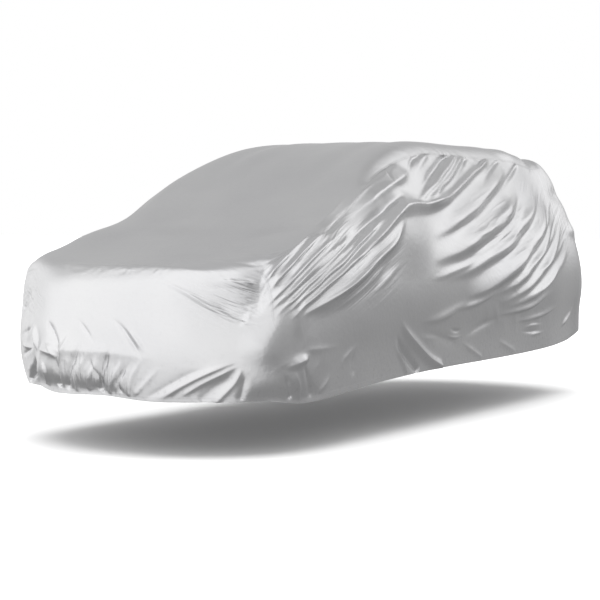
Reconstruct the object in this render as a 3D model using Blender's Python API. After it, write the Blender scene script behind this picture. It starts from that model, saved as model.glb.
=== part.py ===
"""Fitted cover for a tall five-door family car: two flanks and one long top strip, cut from silver coated cloth.

The cover has the shape in which it hangs over a car, which is not modelled. +Y runs from the nose to the tail, +X is
the car's left, +Z is up. The origin is under the roof, where the car carries the cover. Metres throughout.
"""
from collections import namedtuple

import bmesh
import bpy
import numpy as np

# ---------------------------------------------------------------- sizes
SHEET = 0.003  # thickness of the cloth
HEM_SHEET = 0.0045  # where it is turned and sewn at the hem
SEAM_GAP = 0.0008  # between two panels along a seam
CARRY_Y, CARRY_Z = 0.95, 1.7758  # the point under the roof, from mid-wheelbase and from the ground
PANELS = ["top_panel", "side_panel_left", "side_panel_right"]
LEVELS = 2  # how finely the form between the stations is rounded
FITTING_ROUNDS = 12

# The points below are measured from mid-wheelbase, from the centre plane and from the ground.
# A station gives the middle of the top strip, then its edge, where the flank is sewn on, then three points down the
# flank: the wide line, the low line and the hem. crown is how far the quarter points keep the middle's level.
Station = namedtuple(
    "Station",
    "name mid_y mid_z edge_y edge_z edge_x wide_y wide_z wide_x low_y low_z low_x hem_y hem_z hem_x crown",
)
STATIONS = [
    Station("nose", -2.235, 0.995, -1.985, 1.005, 0.79, -1.995, 0.80, 0.855, -2.005, 0.55, 0.872, -1.98, 0.300, 0.855, 0.78),
    Station("bonnet_front", -1.90, 1.07, -1.76, 1.08, 0.80, -1.76, 0.82, 0.915, -1.76, 0.55, 0.94, -1.76, 0.280, 0.93, 0.78),
    Station("bonnet", -1.55, 1.165, -1.48, 1.165, 0.79, -1.44, 0.84, 0.945, -1.42, 0.55, 0.955, -1.42, 0.305, 0.95, 0.78),
    Station("scuttle", -1.25, 1.245, -1.18, 1.24, 0.77, -1.10, 0.88, 0.96, -1.08, 0.56, 0.965, -1.06, 0.33, 0.96, 0.78),
    Station("windscreen_low", -0.95, 1.42, -0.86, 1.41, 0.73, -0.72, 0.93, 0.96, -0.70, 0.58, 0.965, -0.68, 0.345, 0.96, 0.78),
    Station("windscreen_high", -0.60, 1.60, -0.50, 1.55, 0.68, -0.30, 0.98, 0.955, -0.28, 0.60, 0.965, -0.26, 0.355, 0.96, 0.78),
    Station("roof_front", -0.15, 1.73, -0.05, 1.65, 0.64, 0.14, 1.00, 0.95, 0.16, 0.60, 0.965, 0.18, 0.358, 0.96, 0.72),
    Station("roof_1", 0.40, 1.772, 0.45, 1.676, 0.61, 0.62, 1.00, 0.95, 0.64, 0.61, 0.96, 0.66, 0.36, 0.955, 0.66),
    Station("roof_2", 0.95, 1.779, 1.00, 1.668, 0.60, 1.08, 1.00, 0.94, 1.10, 0.62, 0.95, 1.12, 0.365, 0.945, 0.66),
    Station("roof_3", 1.50, 1.760, 1.50, 1.657, 0.59, 1.52, 1.00, 0.925, 1.54, 0.63, 0.935, 1.56, 0.38, 0.93, 0.72),
    Station("roof_rear", 1.95, 1.722, 1.88, 1.618, 0.59, 1.90, 1.00, 0.90, 1.93, 0.64, 0.905, 1.95, 0.41, 0.895, 0.58),
    Station("tail", 2.20, 1.600, 2.14, 1.595, 0.598, 2.16, 1.04, 0.825, 2.17, 0.66, 0.845, 2.15, 0.455, 0.84, 0.5),
]

# The front and rear faces between the hem and the nose or tail station, at the middle of the strip.
Face = namedtuple("Face", "name end mid_y mid_z")
FACES = [
    Face("front_hem", "front", -2.37, 0.305),
    Face("front_low", "front", -2.40, 0.55),
    Face("front_high", "front", -2.355, 0.80),
    Face("rear_high", "rear", 2.40, 1.06),
    Face("rear_low", "rear", 2.44, 0.66),
    Face("rear_hem", "rear", 2.40, 0.455),
]
FACE_CROWN = 0.76

# The cloth is tented out over a mirror on each flank: the tip, how far the tent reaches and how far it stands out.
Tent = namedtuple("Tent", "name x y z reach_y reach_up reach_down out")
TENTS = [
    Tent("mirror_left", 0.84, -0.66, 1.29, 0.50, 0.18, 0.40, 0.050),
    Tent("mirror_right", -0.84, -0.66, 1.29, 0.50, 0.18, 0.40, 0.050),
]

# The hem isn't level: it is drawn up or sags around these points.
HemLift = namedtuple("HemLift", "name x y reach lift")
HEM_LIFTS = [
    HemLift("front_right", -0.80, -2.05, 0.55, 0.040),
    HemLift("front_middle", 0.00, -2.38, 0.35, 0.008),
    HemLift("front_left", 0.90, -1.95, 0.50, -0.006),
    HemLift("rear_left", 0.88, 2.10, 0.30, 0.015),
    HemLift("rear_right", -0.88, 2.05, 0.35, 0.025),
    HemLift("rear_middle", 0.00, 2.40, 0.40, -0.012),
]
HEM_LIFT_HEIGHT = 0.35  # above the hem a lift has died out

# The main folds: the crest's height above the cloth, or a trough's depth as a negative height, how far the fold
# reaches on either hand as one walks along it, how soft its crest is (1 sharp, 2 round), and the points it runs through.
Fold = namedtuple("Fold", "name height left right softness path")
FOLDS = [
    Fold("sweep_1", 0.050, 0.085, 0.150, 1.5, ((0.63, 1.35, 1.62), (0.77, 0.72, 1.41), (0.87, 0.12, 1.24), (0.91, -0.30, 1.14))),
    Fold("sweep_2", 0.058, 0.085, 0.180, 1.5, ((0.73, 1.34, 1.46), (0.85, 0.81, 1.25), (0.92, 0.18, 1.09), (0.95, -0.38, 1.00))),
    Fold("sweep_3", 0.048, 0.085, 0.130, 1.5, ((0.70, 1.74, 1.47), (0.87, 0.99, 1.18), (0.95, 0.35, 0.99), (0.97, -0.31, 0.88))),
    Fold("sweep_4", 0.062, 0.085, 0.180, 1.5, ((0.73, 1.83, 1.40), (0.90, 1.20, 1.10), (0.97, 0.61, 0.90), (0.98, -0.02, 0.77))),
    Fold("sweep_5", 0.036, 0.085, 0.085, 1.5, ((0.77, 1.87, 1.32), (0.94, 1.22, 1.00), (0.97, 0.93, 0.89), (0.98, 0.32, 0.75))),
    Fold("sweep_6", 0.030, 0.085, 0.085, 1.5, ((0.81, 1.94, 1.24), (0.95, 1.35, 0.95), (0.97, 1.07, 0.84), (0.98, 0.49, 0.70))),
    Fold("mirror_ridge_3", 0.034, 0.085, 0.085, 1.2, ((0.58, 1.18, 1.68), (0.69, 0.69, 1.55), (0.80, 0.08, 1.38), (0.83, -0.24, 1.33))),
    Fold("mirror_ledge", 0.026, 0.085, 0.085, 1.3, ((0.80, 0.08, 1.38), (0.83, -0.24, 1.33), (0.88, -0.69, 1.28), (0.89, -0.93, 1.15))),
    Fold("pleat_a", -0.026, 0.085, 0.085, 1.5, ((0.50, 0.34, 1.76), (0.62, 0.04, 1.68), (0.67, -0.13, 1.60), (0.73, -0.28, 1.51))),
    Fold("pleat_c", -0.026, 0.085, 0.085, 1.6, ((0.48, 0.80, 1.76), (0.59, 0.54, 1.69), (0.74, -0.05, 1.49), (0.79, -0.29, 1.40))),
    Fold("bundle_0", -0.030, 0.085, 0.085, 1.5, ((0.79, -0.45, 1.40), (0.85, -0.80, 1.30), (0.85, -0.92, 1.25), (0.87, -1.25, 1.11))),
    Fold("bundle_base", 0.042, 0.100, 0.170, 1.8, ((0.87, -0.57, 1.31), (0.92, -0.99, 1.06), (0.94, -1.29, 0.93), (0.92, -1.79, 0.74))),
    Fold("bundle_1", 0.026, 0.085, 0.085, 1.2, ((0.86, -0.55, 1.32), (0.89, -1.01, 1.12), (0.92, -1.59, 0.89), (0.90, -1.95, 0.71))),
    Fold("bundle_3", 0.026, 0.085, 0.085, 1.3, ((0.86, -0.93, 1.23), (0.89, -1.38, 1.05), (0.90, -1.78, 0.88), (0.86, -2.00, 0.74))),
    Fold("bundle_7", 0.028, 0.085, 0.085, 1.4, ((0.90, -0.61, 1.26), (0.92, -0.95, 1.06), (0.94, -1.43, 0.87), (0.92, -1.87, 0.72))),
    Fold("skirt_1", 0.026, 0.085, 0.085, 1.3, ((0.98, -0.80, 0.68), (0.96, -0.67, 0.57), (0.96, -0.39, 0.42), (0.96, -0.23, 0.36))),
    Fold("skirt_2", -0.026, 0.085, 0.085, 1.5, ((0.97, -0.85, 0.60), (0.96, -0.76, 0.50), (0.96, -0.66, 0.43), (0.96, -0.55, 0.35))),
    Fold("arch_1", 0.026, 0.085, 0.085, 1.6, ((0.90, -1.95, 0.47), (0.92, -1.91, 0.49), (0.94, -1.84, 0.51), (0.94, -1.74, 0.53))),
    Fold("arch_2", -0.026, 0.085, 0.085, 1.5, ((0.90, -1.96, 0.45), (0.91, -1.92, 0.38), (0.92, -1.88, 0.30))),
    Fold("front_long", 0.026, 0.085, 0.085, 1.2, ((0.26, -2.26, 0.96), (0.48, -2.24, 0.88), (0.70, -2.14, 0.75), (0.86, -2.01, 0.70))),
    Fold("pocket", -0.026, 0.085, 0.085, 1.9, ((0.57, -2.20, 0.87), (0.64, -2.17, 0.83), (0.71, -2.13, 0.78), (0.77, -2.09, 0.74))),
    Fold("pocket_bar_1", -0.026, 0.085, 0.085, 1.5, ((0.54, -2.20, 0.92), (0.64, -2.15, 0.91), (0.73, -2.09, 0.89), (0.80, -2.04, 0.86))),
    Fold("front_1", -0.026, 0.085, 0.085, 1.3, ((0.07, -2.37, 0.75), (0.15, -2.37, 0.69), (0.23, -2.38, 0.61), (0.30, -2.37, 0.52))),
    Fold("front_low_2", -0.026, 0.085, 0.085, 1.4, ((-0.08, -2.39, 0.64), (-0.13, -2.39, 0.55), (-0.20, -2.38, 0.44), (-0.27, -2.35, 0.33))),
    Fold("front_low_4", -0.026, 0.085, 0.085, 1.4, ((0.12, -2.39, 0.61), (0.08, -2.40, 0.53), (0.04, -2.39, 0.45), (-0.01, -2.37, 0.33))),
    Fold("corner_1", -0.026, 0.085, 0.085, 1.4, ((-0.40, -2.31, 0.72), (-0.32, -2.35, 0.63), (-0.25, -2.38, 0.54))),
    Fold("corner_4", 0.026, 0.085, 0.085, 1.3, ((-0.55, -2.25, 0.69), (-0.51, -2.29, 0.61), (-0.49, -2.30, 0.52))),
    Fold("corner_5", -0.026, 0.085, 0.085, 1.4, ((-0.51, -2.29, 0.52), (-0.55, -2.26, 0.44), (-0.67, -2.15, 0.35))),
    Fold("hemfold_1", 0.026, 0.085, 0.085, 1.3, ((0.75, -2.12, 0.53), (0.68, -2.18, 0.50), (0.48, -2.29, 0.39), (0.34, -2.33, 0.31))),
    Fold("hemfold_2", -0.026, 0.085, 0.085, 1.5, ((0.63, -2.22, 0.49), (0.54, -2.27, 0.46), (0.43, -2.31, 0.40), (0.28, -2.35, 0.32))),
    Fold("hemfold_4", -0.026, 0.085, 0.085, 1.7, ((0.74, -2.13, 0.48), (0.69, -2.16, 0.42), (0.62, -2.20, 0.37), (0.55, -2.23, 0.30))),
    Fold("pocket_edge", -0.034, 0.085, 0.160, 1.6, ((0.77, -1.90, 1.06), (0.80, -1.99, 0.98), (0.81, -2.04, 0.83), (0.84, -2.03, 0.76))),
    Fold("corner_ridge", 0.026, 0.190, 0.150, 1.8, ((0.92, -1.76, 0.81), (0.91, -1.90, 0.75), (0.81, -2.07, 0.58), (0.75, -2.12, 0.50))),
    Fold("pillar_shelf", 0.062, 0.085, 0.180, 1.8, ((0.71, -0.15, 1.54), (0.77, -0.48, 1.44), (0.83, -0.83, 1.33), (0.82, -1.10, 1.22))),
    Fold("ledge_slope", 0.042, 0.085, 0.240, 1.6, ((0.78, 0.23, 1.41), (0.82, -0.23, 1.34), (0.84, -0.41, 1.33), (0.85, -0.74, 1.32))),
    Fold("tail_left", 0.030, 0.090, 0.100, 1.5, ((0.40, 2.30, 1.40), (0.30, 2.38, 1.10), (0.12, 2.42, 0.80), (-0.05, 2.42, 0.50))),
    Fold("tail_right", -0.030, 0.090, 0.100, 1.5, ((-0.42, 2.30, 1.35), (-0.40, 2.37, 1.00), (-0.30, 2.40, 0.70), (-0.28, 2.38, 0.47))),
    Fold("tail_mid", 0.030, 0.090, 0.100, 1.5, ((0.05, 2.36, 1.25), (-0.08, 2.42, 0.95), (-0.14, 2.43, 0.70))),
    Fold("tail_hem_left", -0.030, 0.090, 0.100, 1.4, ((0.48, 2.34, 0.75), (0.52, 2.32, 0.60), (0.50, 2.30, 0.47))),
]
# The right flank hangs the same way, but a little further back and slacker.
RIGHT_SHIFT, RIGHT_SHARE = 0.06, 0.8
LEFT_ONLY = ("corner_ridge", "pocket_edge", "arch_1")  # folds of the left front corner that the right one lacks
FADE = 0.22  # share of a fold's length over which it rises and dies out

# The cloth: its colour, its sheen and how metallic its coating looks.
CLOTH_COLOUR, CLOTH_ROUGHNESS, CLOTH_METALLIC = (0.62, 0.62, 0.63, 1.0), 0.42, 0.35


def strip_row(mid, edge, crown):
    """Five points across the top strip, from the right edge to the left."""
    quarter = (edge[0] * 0.55,) + tuple(e + (m - e) * crown for m, e in zip(mid[1:], edge[1:]))
    return [(-edge[0], edge[1], edge[2]), (-quarter[0], quarter[1], quarter[2]), mid, quarter, edge]


def flank_column(s):
    """Four points down the left flank at a station, from the seam to the hem."""
    return [(s.edge_x, s.edge_y, s.edge_z), (s.wide_x, s.wide_y, s.wide_z), (s.low_x, s.low_y, s.low_z), (s.hem_x, s.hem_y, s.hem_z)]


def station_form():
    """The stations' points, the quads between them and the panel that each quad belongs to."""
    rows = []
    for face, edge in zip([f for f in FACES if f.end == "front"], flank_column(STATIONS[0])[:0:-1]):
        rows.append(strip_row((0.0, face.mid_y, face.mid_z), edge, FACE_CROWN))
    for s in STATIONS:
        rows.append(strip_row((0.0, s.mid_y, s.mid_z), flank_column(s)[0], s.crown))
    for face, edge in zip([f for f in FACES if f.end == "rear"], flank_column(STATIONS[-1])[1:]):
        rows.append(strip_row((0.0, face.mid_y, face.mid_z), edge, FACE_CROWN))
    points, where, quads, panels = [], {}, [], []

    def index(point):
        key = tuple(round(c, 6) for c in point)
        if key not in where:
            where[key] = len(points)
            points.append(point)
        return where[key]

    for near, far in zip(rows, rows[1:]):
        for c in range(4):
            quads.append([index(p) for p in (near[c], near[c + 1], far[c + 1], far[c])])
            panels.append("top_panel")
    for side, name in ((1, "side_panel_left"), (-1, "side_panel_right")):
        columns = [[(side * x, y, z) for x, y, z in flank_column(s)] for s in STATIONS]
        for near, far in zip(columns, columns[1:]):
            for r in range(3):
                ring = [near[r], near[r + 1], far[r + 1], far[r]]
                quads.append([index(p) for p in ring[::side]])
                panels.append(name)
    return points, quads, panels


def rounded(points, quads, panels, levels):
    """The form rounded by a Subdivision Surface modifier: its corners, its quads and each quad's panel."""
    mesh = bpy.data.meshes.new("form")
    mesh.from_pydata(points, [], quads)
    for _ in PANELS:
        mesh.materials.append(None)
    mesh.polygons.foreach_set("material_index", [PANELS.index(p) for p in panels])
    form = bpy.data.objects.new("form", mesh)
    bpy.context.scene.collection.objects.link(form)
    rounding = form.modifiers.new("rounding", "SUBSURF")
    rounding.levels = rounding.render_levels = levels
    rounding.boundary_smooth = "PRESERVE_CORNERS"
    bpy.context.view_layer.update()
    shape = form.evaluated_get(bpy.context.evaluated_depsgraph_get()).to_mesh()
    corners = np.array([v.co for v in shape.vertices])
    faces = np.array([list(f.vertices) for f in shape.polygons])
    panel_of = np.array([f.material_index for f in shape.polygons])
    bpy.data.objects.remove(form)
    bpy.data.meshes.remove(mesh)
    return corners, faces, panel_of


def cloth_form(levels):
    """The rounded form. Its control points are moved out until it passes through the stations' own points."""
    points, quads, panels = station_form()
    wanted = np.array(points)
    control = wanted.copy()
    for _ in range(FITTING_ROUNDS):
        reached = rounded(control.tolist(), quads, panels, 1)[0][: len(points)]
        control += wanted - reached
    return rounded(control.tolist(), quads, panels, levels)


def vertex_normals(corners, faces):
    """Outward normals of the whole cover at its corners."""
    across = np.cross(corners[faces[:, 2]] - corners[faces[:, 0]], corners[faces[:, 3]] - corners[faces[:, 1]])
    normals = np.zeros_like(corners)
    for k in range(4):
        np.add.at(normals, faces[:, k], across)
    return normals / np.linalg.norm(normals, axis=1)[:, None]


def smooth_path(path, steps=8):
    """The path's points joined by an even curve through them."""
    p = np.array(path)
    p = np.vstack([2 * p[0] - p[1], p, 2 * p[-1] - p[-2]])
    curve = []
    for i in range(1, len(p) - 2):
        for t in np.arange(steps) / steps:
            a, b, c, d = p[i - 1 : i + 3]
            curve.append(0.5 * (2 * b + (c - a) * t + (2 * a - 5 * b + 4 * c - d) * t**2 + (3 * b - a - 3 * c + d) * t**3))
    return np.array(curve + [p[-2]])


def rise(share):
    """0 at 0 and 1 at 1, with no corner at either."""
    share = np.clip(share, 0, 1)
    return share * share * (3 - 2 * share)


def fold_height(corners, normals, fold):
    """How far a fold moves each corner of the cloth along its normal."""
    curve = smooth_path(fold.path)
    reach = max(fold.left, fold.right)
    height = np.zeros(len(corners))
    near = np.where(np.all((corners > curve.min(0) - reach) & (corners < curve.max(0) + reach), axis=1))[0]
    if not len(near):
        return height
    spans = curve[1:] - curve[:-1]
    lengths = np.linalg.norm(spans, axis=1)
    begins = np.concatenate([[0], np.cumsum(lengths)[:-1]])
    offset = corners[near][:, None] - curve[None, :-1]
    share = np.clip((offset * spans).sum(2) / lengths**2, 0, 1)
    away = offset - share[..., None] * spans
    distance = np.linalg.norm(away, axis=2)
    best = distance.argmin(1)
    pick = np.arange(len(near))
    along = (begins[best] + share[pick, best] * lengths[best]) / lengths.sum()
    left_hand = (np.cross(normals[near], spans[best]) * away[pick, best]).sum(1) > 0
    wide = np.where(left_hand, fold.left, fold.right)
    section = 1 - rise((distance[pick, best] / wide) ** (fold.softness * 0.7))
    height[near] = fold.height * section * rise(along / FADE) * rise((1 - along) / FADE * 1.6)
    return height


def mirrored(fold):
    path = tuple((-x, y + RIGHT_SHIFT, z) for x, y, z in fold.path)
    return Fold(fold.name + "_right", fold.height * RIGHT_SHARE, fold.right, fold.left, fold.softness, path)


def hung(corners, faces):
    """The cloth as it hangs: the uneven hem, the tents over the mirrors and the main folds."""
    corners = corners.copy()
    hem_z = np.interp(corners[:, 1], [s.hem_y for s in STATIONS], [s.hem_z for s in STATIONS])
    fading = 1 - rise((corners[:, 2] - hem_z) / HEM_LIFT_HEIGHT)
    for lift in HEM_LIFTS:
        distance = np.hypot(corners[:, 0] - lift.x, corners[:, 1] - lift.y)
        corners[:, 2] += lift.lift * fading * (1 - rise(distance / lift.reach))
    for tent in TENTS:
        same_side = corners[:, 0] * tent.x > 0
        up = corners[:, 2] - tent.z
        high = np.where(up > 0, up / tent.reach_up, -up / tent.reach_down)
        distance = np.hypot((corners[:, 1] - tent.y) / tent.reach_y, high)
        corners[:, 0] += np.sign(tent.x) * tent.out * same_side * (1 - rise(distance))
    normals = vertex_normals(corners, faces)
    folds = FOLDS + [mirrored(f) for f in FOLDS if min(p[0] for p in f.path) > 0.55 and f.name not in LEFT_ONLY]
    return corners + normals * sum(fold_height(corners, normals, f) for f in folds)[:, None]


def vertex_thickness(corners, normals, triangles):
    """How much further than the sheet's thickness each corner's two skins lie apart, so that the wall keeps it on bent cloth."""
    a, b, c = (corners[triangles[:, k]] for k in range(3))
    across = np.cross(b - a, c - a)
    area = np.linalg.norm(across, axis=1)
    total, leaning = np.zeros(len(corners)), np.zeros(len(corners))
    for k in range(3):
        np.add.at(total, triangles[:, k], area)
        np.add.at(leaning, triangles[:, k], (across * normals[triangles[:, k]]).sum(1))
    return np.clip(total / np.maximum(leaning, 1e-12), 1.0, 1.35)


def triangle_halves(corners, faces):
    """Each quad cut along its shorter diagonal, so that the cloth's two skins are cut alike."""
    first = np.linalg.norm(corners[faces[:, 0]] - corners[faces[:, 2]], axis=1)
    second = np.linalg.norm(corners[faces[:, 1]] - corners[faces[:, 3]], axis=1)
    turn = second < first
    quads = np.where(turn[:, None], np.roll(faces, -1, axis=1), faces)
    return np.stack([quads[:, [0, 1, 2]], quads[:, [0, 2, 3]]], axis=1).reshape(-1, 3)


def panel_mesh(name, corners, normals, faces, seams, hem):
    """One panel as a closed solid: the outer skin, the inner skin one thickness below it and the edge between them."""
    used = np.unique(faces)
    middles = corners[faces].mean(1)
    inward = np.zeros_like(corners)
    for k in range(4):
        np.add.at(inward, faces[:, k], middles - corners[faces[:, k]])
    triangles = triangle_halves(corners, faces)
    spread = vertex_thickness(corners, normals, triangles)
    build = bmesh.new()
    outer, inner = {}, {}
    for v in used:
        place = corners[v].copy()
        if v in seams:
            step = inward[v] - normals[v] * (inward[v] @ normals[v])
            place += step / np.linalg.norm(step) * SEAM_GAP / 2 * seams[v]
        thick = (HEM_SHEET if v in hem else SHEET) * spread[v]
        outer[v] = build.verts.new(place)
        inner[v] = build.verts.new(place - normals[v] * thick)
    edges = {}
    for face in triangles:
        build.faces.new([outer[v] for v in face])
        build.faces.new([inner[v] for v in face[::-1]])
        for a, b in zip(face, np.roll(face, -1)):
            edges[(a, b)] = True
    for a, b in edges:
        if (b, a) not in edges:
            rim = build.faces.new([outer[b], outer[a], inner[a], inner[b]])
            for edge in rim.edges:
                edge.smooth = False
    for face in build.faces:
        face.smooth = True
    mesh = bpy.data.meshes.new(name)
    build.to_mesh(mesh)
    build.free()
    return mesh


def main():
    for old in list(bpy.data.objects):
        bpy.data.objects.remove(old, do_unlink=True)
    corners, faces, panel_of = cloth_form(LEVELS)
    corners = hung(corners, faces)
    normals = vertex_normals(corners, faces)
    corners = corners - np.array([0.0, CARRY_Y, CARRY_Z])

    # A corner that more than one panel uses lies on a seam. A corner on an open edge of the whole cover is on the hem.
    panels_at = [set() for _ in corners]
    edge_uses = {}
    for face, panel in zip(faces, panel_of):
        for a, b in zip(face, np.roll(face, -1)):
            panels_at[a].add(panel)
            edge_uses[frozenset((int(a), int(b)))] = edge_uses.get(frozenset((int(a), int(b))), 0) + 1
    hem = {v for edge, uses in edge_uses.items() if uses == 1 for v in edge}

    for number, name in enumerate(PANELS):
        own = faces[panel_of == number]
        seams = {v: 1.0 for v in np.unique(own) if len(panels_at[v]) > 1}
        mesh = panel_mesh(name, corners, normals, own, seams, hem)
        cloth = bpy.data.materials.new(name + "_cloth")
        cloth.use_nodes = True
        shader = cloth.node_tree.nodes["Principled BSDF"]
        shader.inputs["Base Color"].default_value = CLOTH_COLOUR
        shader.inputs["Roughness"].default_value = CLOTH_ROUGHNESS
        shader.inputs["Metallic"].default_value = CLOTH_METALLIC
        cloth.diffuse_color = CLOTH_COLOUR
        mesh.materials.append(cloth)
        panel = bpy.data.objects.new(name, mesh)
        bpy.context.scene.collection.objects.link(panel)


main()
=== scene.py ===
"""Looks of the fitted car cover: three sheets of silver coated cloth with their folds, seams, hems and weave."""

import math
from collections import namedtuple

import bmesh
import bpy
import numpy as np
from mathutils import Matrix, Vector
from mathutils.kdtree import KDTree


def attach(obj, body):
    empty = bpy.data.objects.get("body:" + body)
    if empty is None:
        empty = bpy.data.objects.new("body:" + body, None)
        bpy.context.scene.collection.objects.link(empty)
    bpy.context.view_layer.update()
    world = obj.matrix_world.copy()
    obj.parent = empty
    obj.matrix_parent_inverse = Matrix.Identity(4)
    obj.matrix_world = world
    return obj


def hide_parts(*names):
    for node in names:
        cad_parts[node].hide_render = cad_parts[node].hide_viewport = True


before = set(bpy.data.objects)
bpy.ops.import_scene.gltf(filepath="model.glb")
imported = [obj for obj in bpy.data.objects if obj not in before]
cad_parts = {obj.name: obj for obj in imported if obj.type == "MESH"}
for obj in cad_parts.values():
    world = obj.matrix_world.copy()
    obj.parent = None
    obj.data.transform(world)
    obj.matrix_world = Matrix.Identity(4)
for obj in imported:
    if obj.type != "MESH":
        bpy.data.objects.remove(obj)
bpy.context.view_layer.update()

# ---------------------------------------------------------------- the form, as in the CAD
CARRY_Y, CARRY_Z = 0.95, 1.7758  # the point under the roof that carries the cover
PANELS = ["top_panel", "side_panel_left", "side_panel_right"]
LEVELS = 5
FITTING_ROUNDS = 12
REFINED = [8700, 19500, 17000]  # how many quads of each panel are cut finer, where its folds are tightest

# The points below are measured from mid-wheelbase, from the centre plane and from the ground.
# A station gives the middle of the top strip, then its edge, where the flank is sewn on, then three points down the
# flank: the wide line, the low line and the hem. crown is how far the quarter points keep the middle's level.
Station = namedtuple(
    "Station",
    "name mid_y mid_z edge_y edge_z edge_x wide_y wide_z wide_x low_y low_z low_x hem_y hem_z hem_x crown",
)
STATIONS = [
    Station("nose", -2.235, 0.995, -1.985, 1.005, 0.79, -1.995, 0.80, 0.855, -2.005, 0.55, 0.872, -1.98, 0.300, 0.855, 0.78),
    Station("bonnet_front", -1.90, 1.07, -1.76, 1.08, 0.80, -1.76, 0.82, 0.915, -1.76, 0.55, 0.94, -1.76, 0.280, 0.93, 0.78),
    Station("bonnet", -1.55, 1.165, -1.48, 1.165, 0.79, -1.44, 0.84, 0.945, -1.42, 0.55, 0.955, -1.42, 0.305, 0.95, 0.78),
    Station("scuttle", -1.25, 1.245, -1.18, 1.24, 0.77, -1.10, 0.88, 0.96, -1.08, 0.56, 0.965, -1.06, 0.33, 0.96, 0.78),
    Station("windscreen_low", -0.95, 1.42, -0.86, 1.41, 0.73, -0.72, 0.93, 0.96, -0.70, 0.58, 0.965, -0.68, 0.345, 0.96, 0.78),
    Station("windscreen_high", -0.60, 1.60, -0.50, 1.55, 0.68, -0.30, 0.98, 0.955, -0.28, 0.60, 0.965, -0.26, 0.355, 0.96, 0.78),
    Station("roof_front", -0.15, 1.73, -0.05, 1.65, 0.64, 0.14, 1.00, 0.95, 0.16, 0.60, 0.965, 0.18, 0.358, 0.96, 0.72),
    Station("roof_1", 0.40, 1.772, 0.45, 1.676, 0.61, 0.62, 1.00, 0.95, 0.64, 0.61, 0.96, 0.66, 0.36, 0.955, 0.66),
    Station("roof_2", 0.95, 1.779, 1.00, 1.668, 0.60, 1.08, 1.00, 0.94, 1.10, 0.62, 0.95, 1.12, 0.365, 0.945, 0.66),
    Station("roof_3", 1.50, 1.760, 1.50, 1.657, 0.59, 1.52, 1.00, 0.925, 1.54, 0.63, 0.935, 1.56, 0.38, 0.93, 0.72),
    Station("roof_rear", 1.95, 1.722, 1.88, 1.618, 0.59, 1.90, 1.00, 0.90, 1.93, 0.64, 0.905, 1.95, 0.41, 0.895, 0.58),
    Station("tail", 2.20, 1.600, 2.14, 1.595, 0.598, 2.16, 1.04, 0.825, 2.17, 0.66, 0.845, 2.15, 0.455, 0.84, 0.5),
]

# The front and rear faces between the hem and the nose or tail station, at the middle of the strip.
Face = namedtuple("Face", "name end mid_y mid_z")
FACES = [
    Face("front_hem", "front", -2.37, 0.305),
    Face("front_low", "front", -2.40, 0.55),
    Face("front_high", "front", -2.355, 0.80),
    Face("rear_high", "rear", 2.40, 1.06),
    Face("rear_low", "rear", 2.44, 0.66),
    Face("rear_hem", "rear", 2.40, 0.455),
]
FACE_CROWN = 0.76

# The cloth is tented out over a mirror on each flank: the tip, how far the tent reaches and how far it stands out.
Tent = namedtuple("Tent", "name x y z reach_y reach_up reach_down out")
TENTS = [
    Tent("mirror_left", 0.84, -0.66, 1.29, 0.50, 0.18, 0.40, 0.050),
    Tent("mirror_right", -0.84, -0.66, 1.29, 0.50, 0.18, 0.40, 0.050),
]

# The hem isn't level: it is drawn up or sags around these points.
HemLift = namedtuple("HemLift", "name x y reach lift")
HEM_LIFTS = [
    HemLift("front_right", -0.80, -2.05, 0.55, 0.040),
    HemLift("front_middle", 0.00, -2.38, 0.35, 0.008),
    HemLift("front_left", 0.90, -1.95, 0.50, -0.006),
    HemLift("rear_left", 0.88, 2.10, 0.30, 0.015),
    HemLift("rear_right", -0.88, 2.05, 0.35, 0.025),
    HemLift("rear_middle", 0.00, 2.40, 0.40, -0.012),
]
HEM_LIFT_HEIGHT = 0.35  # above the hem a lift has died out

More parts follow.
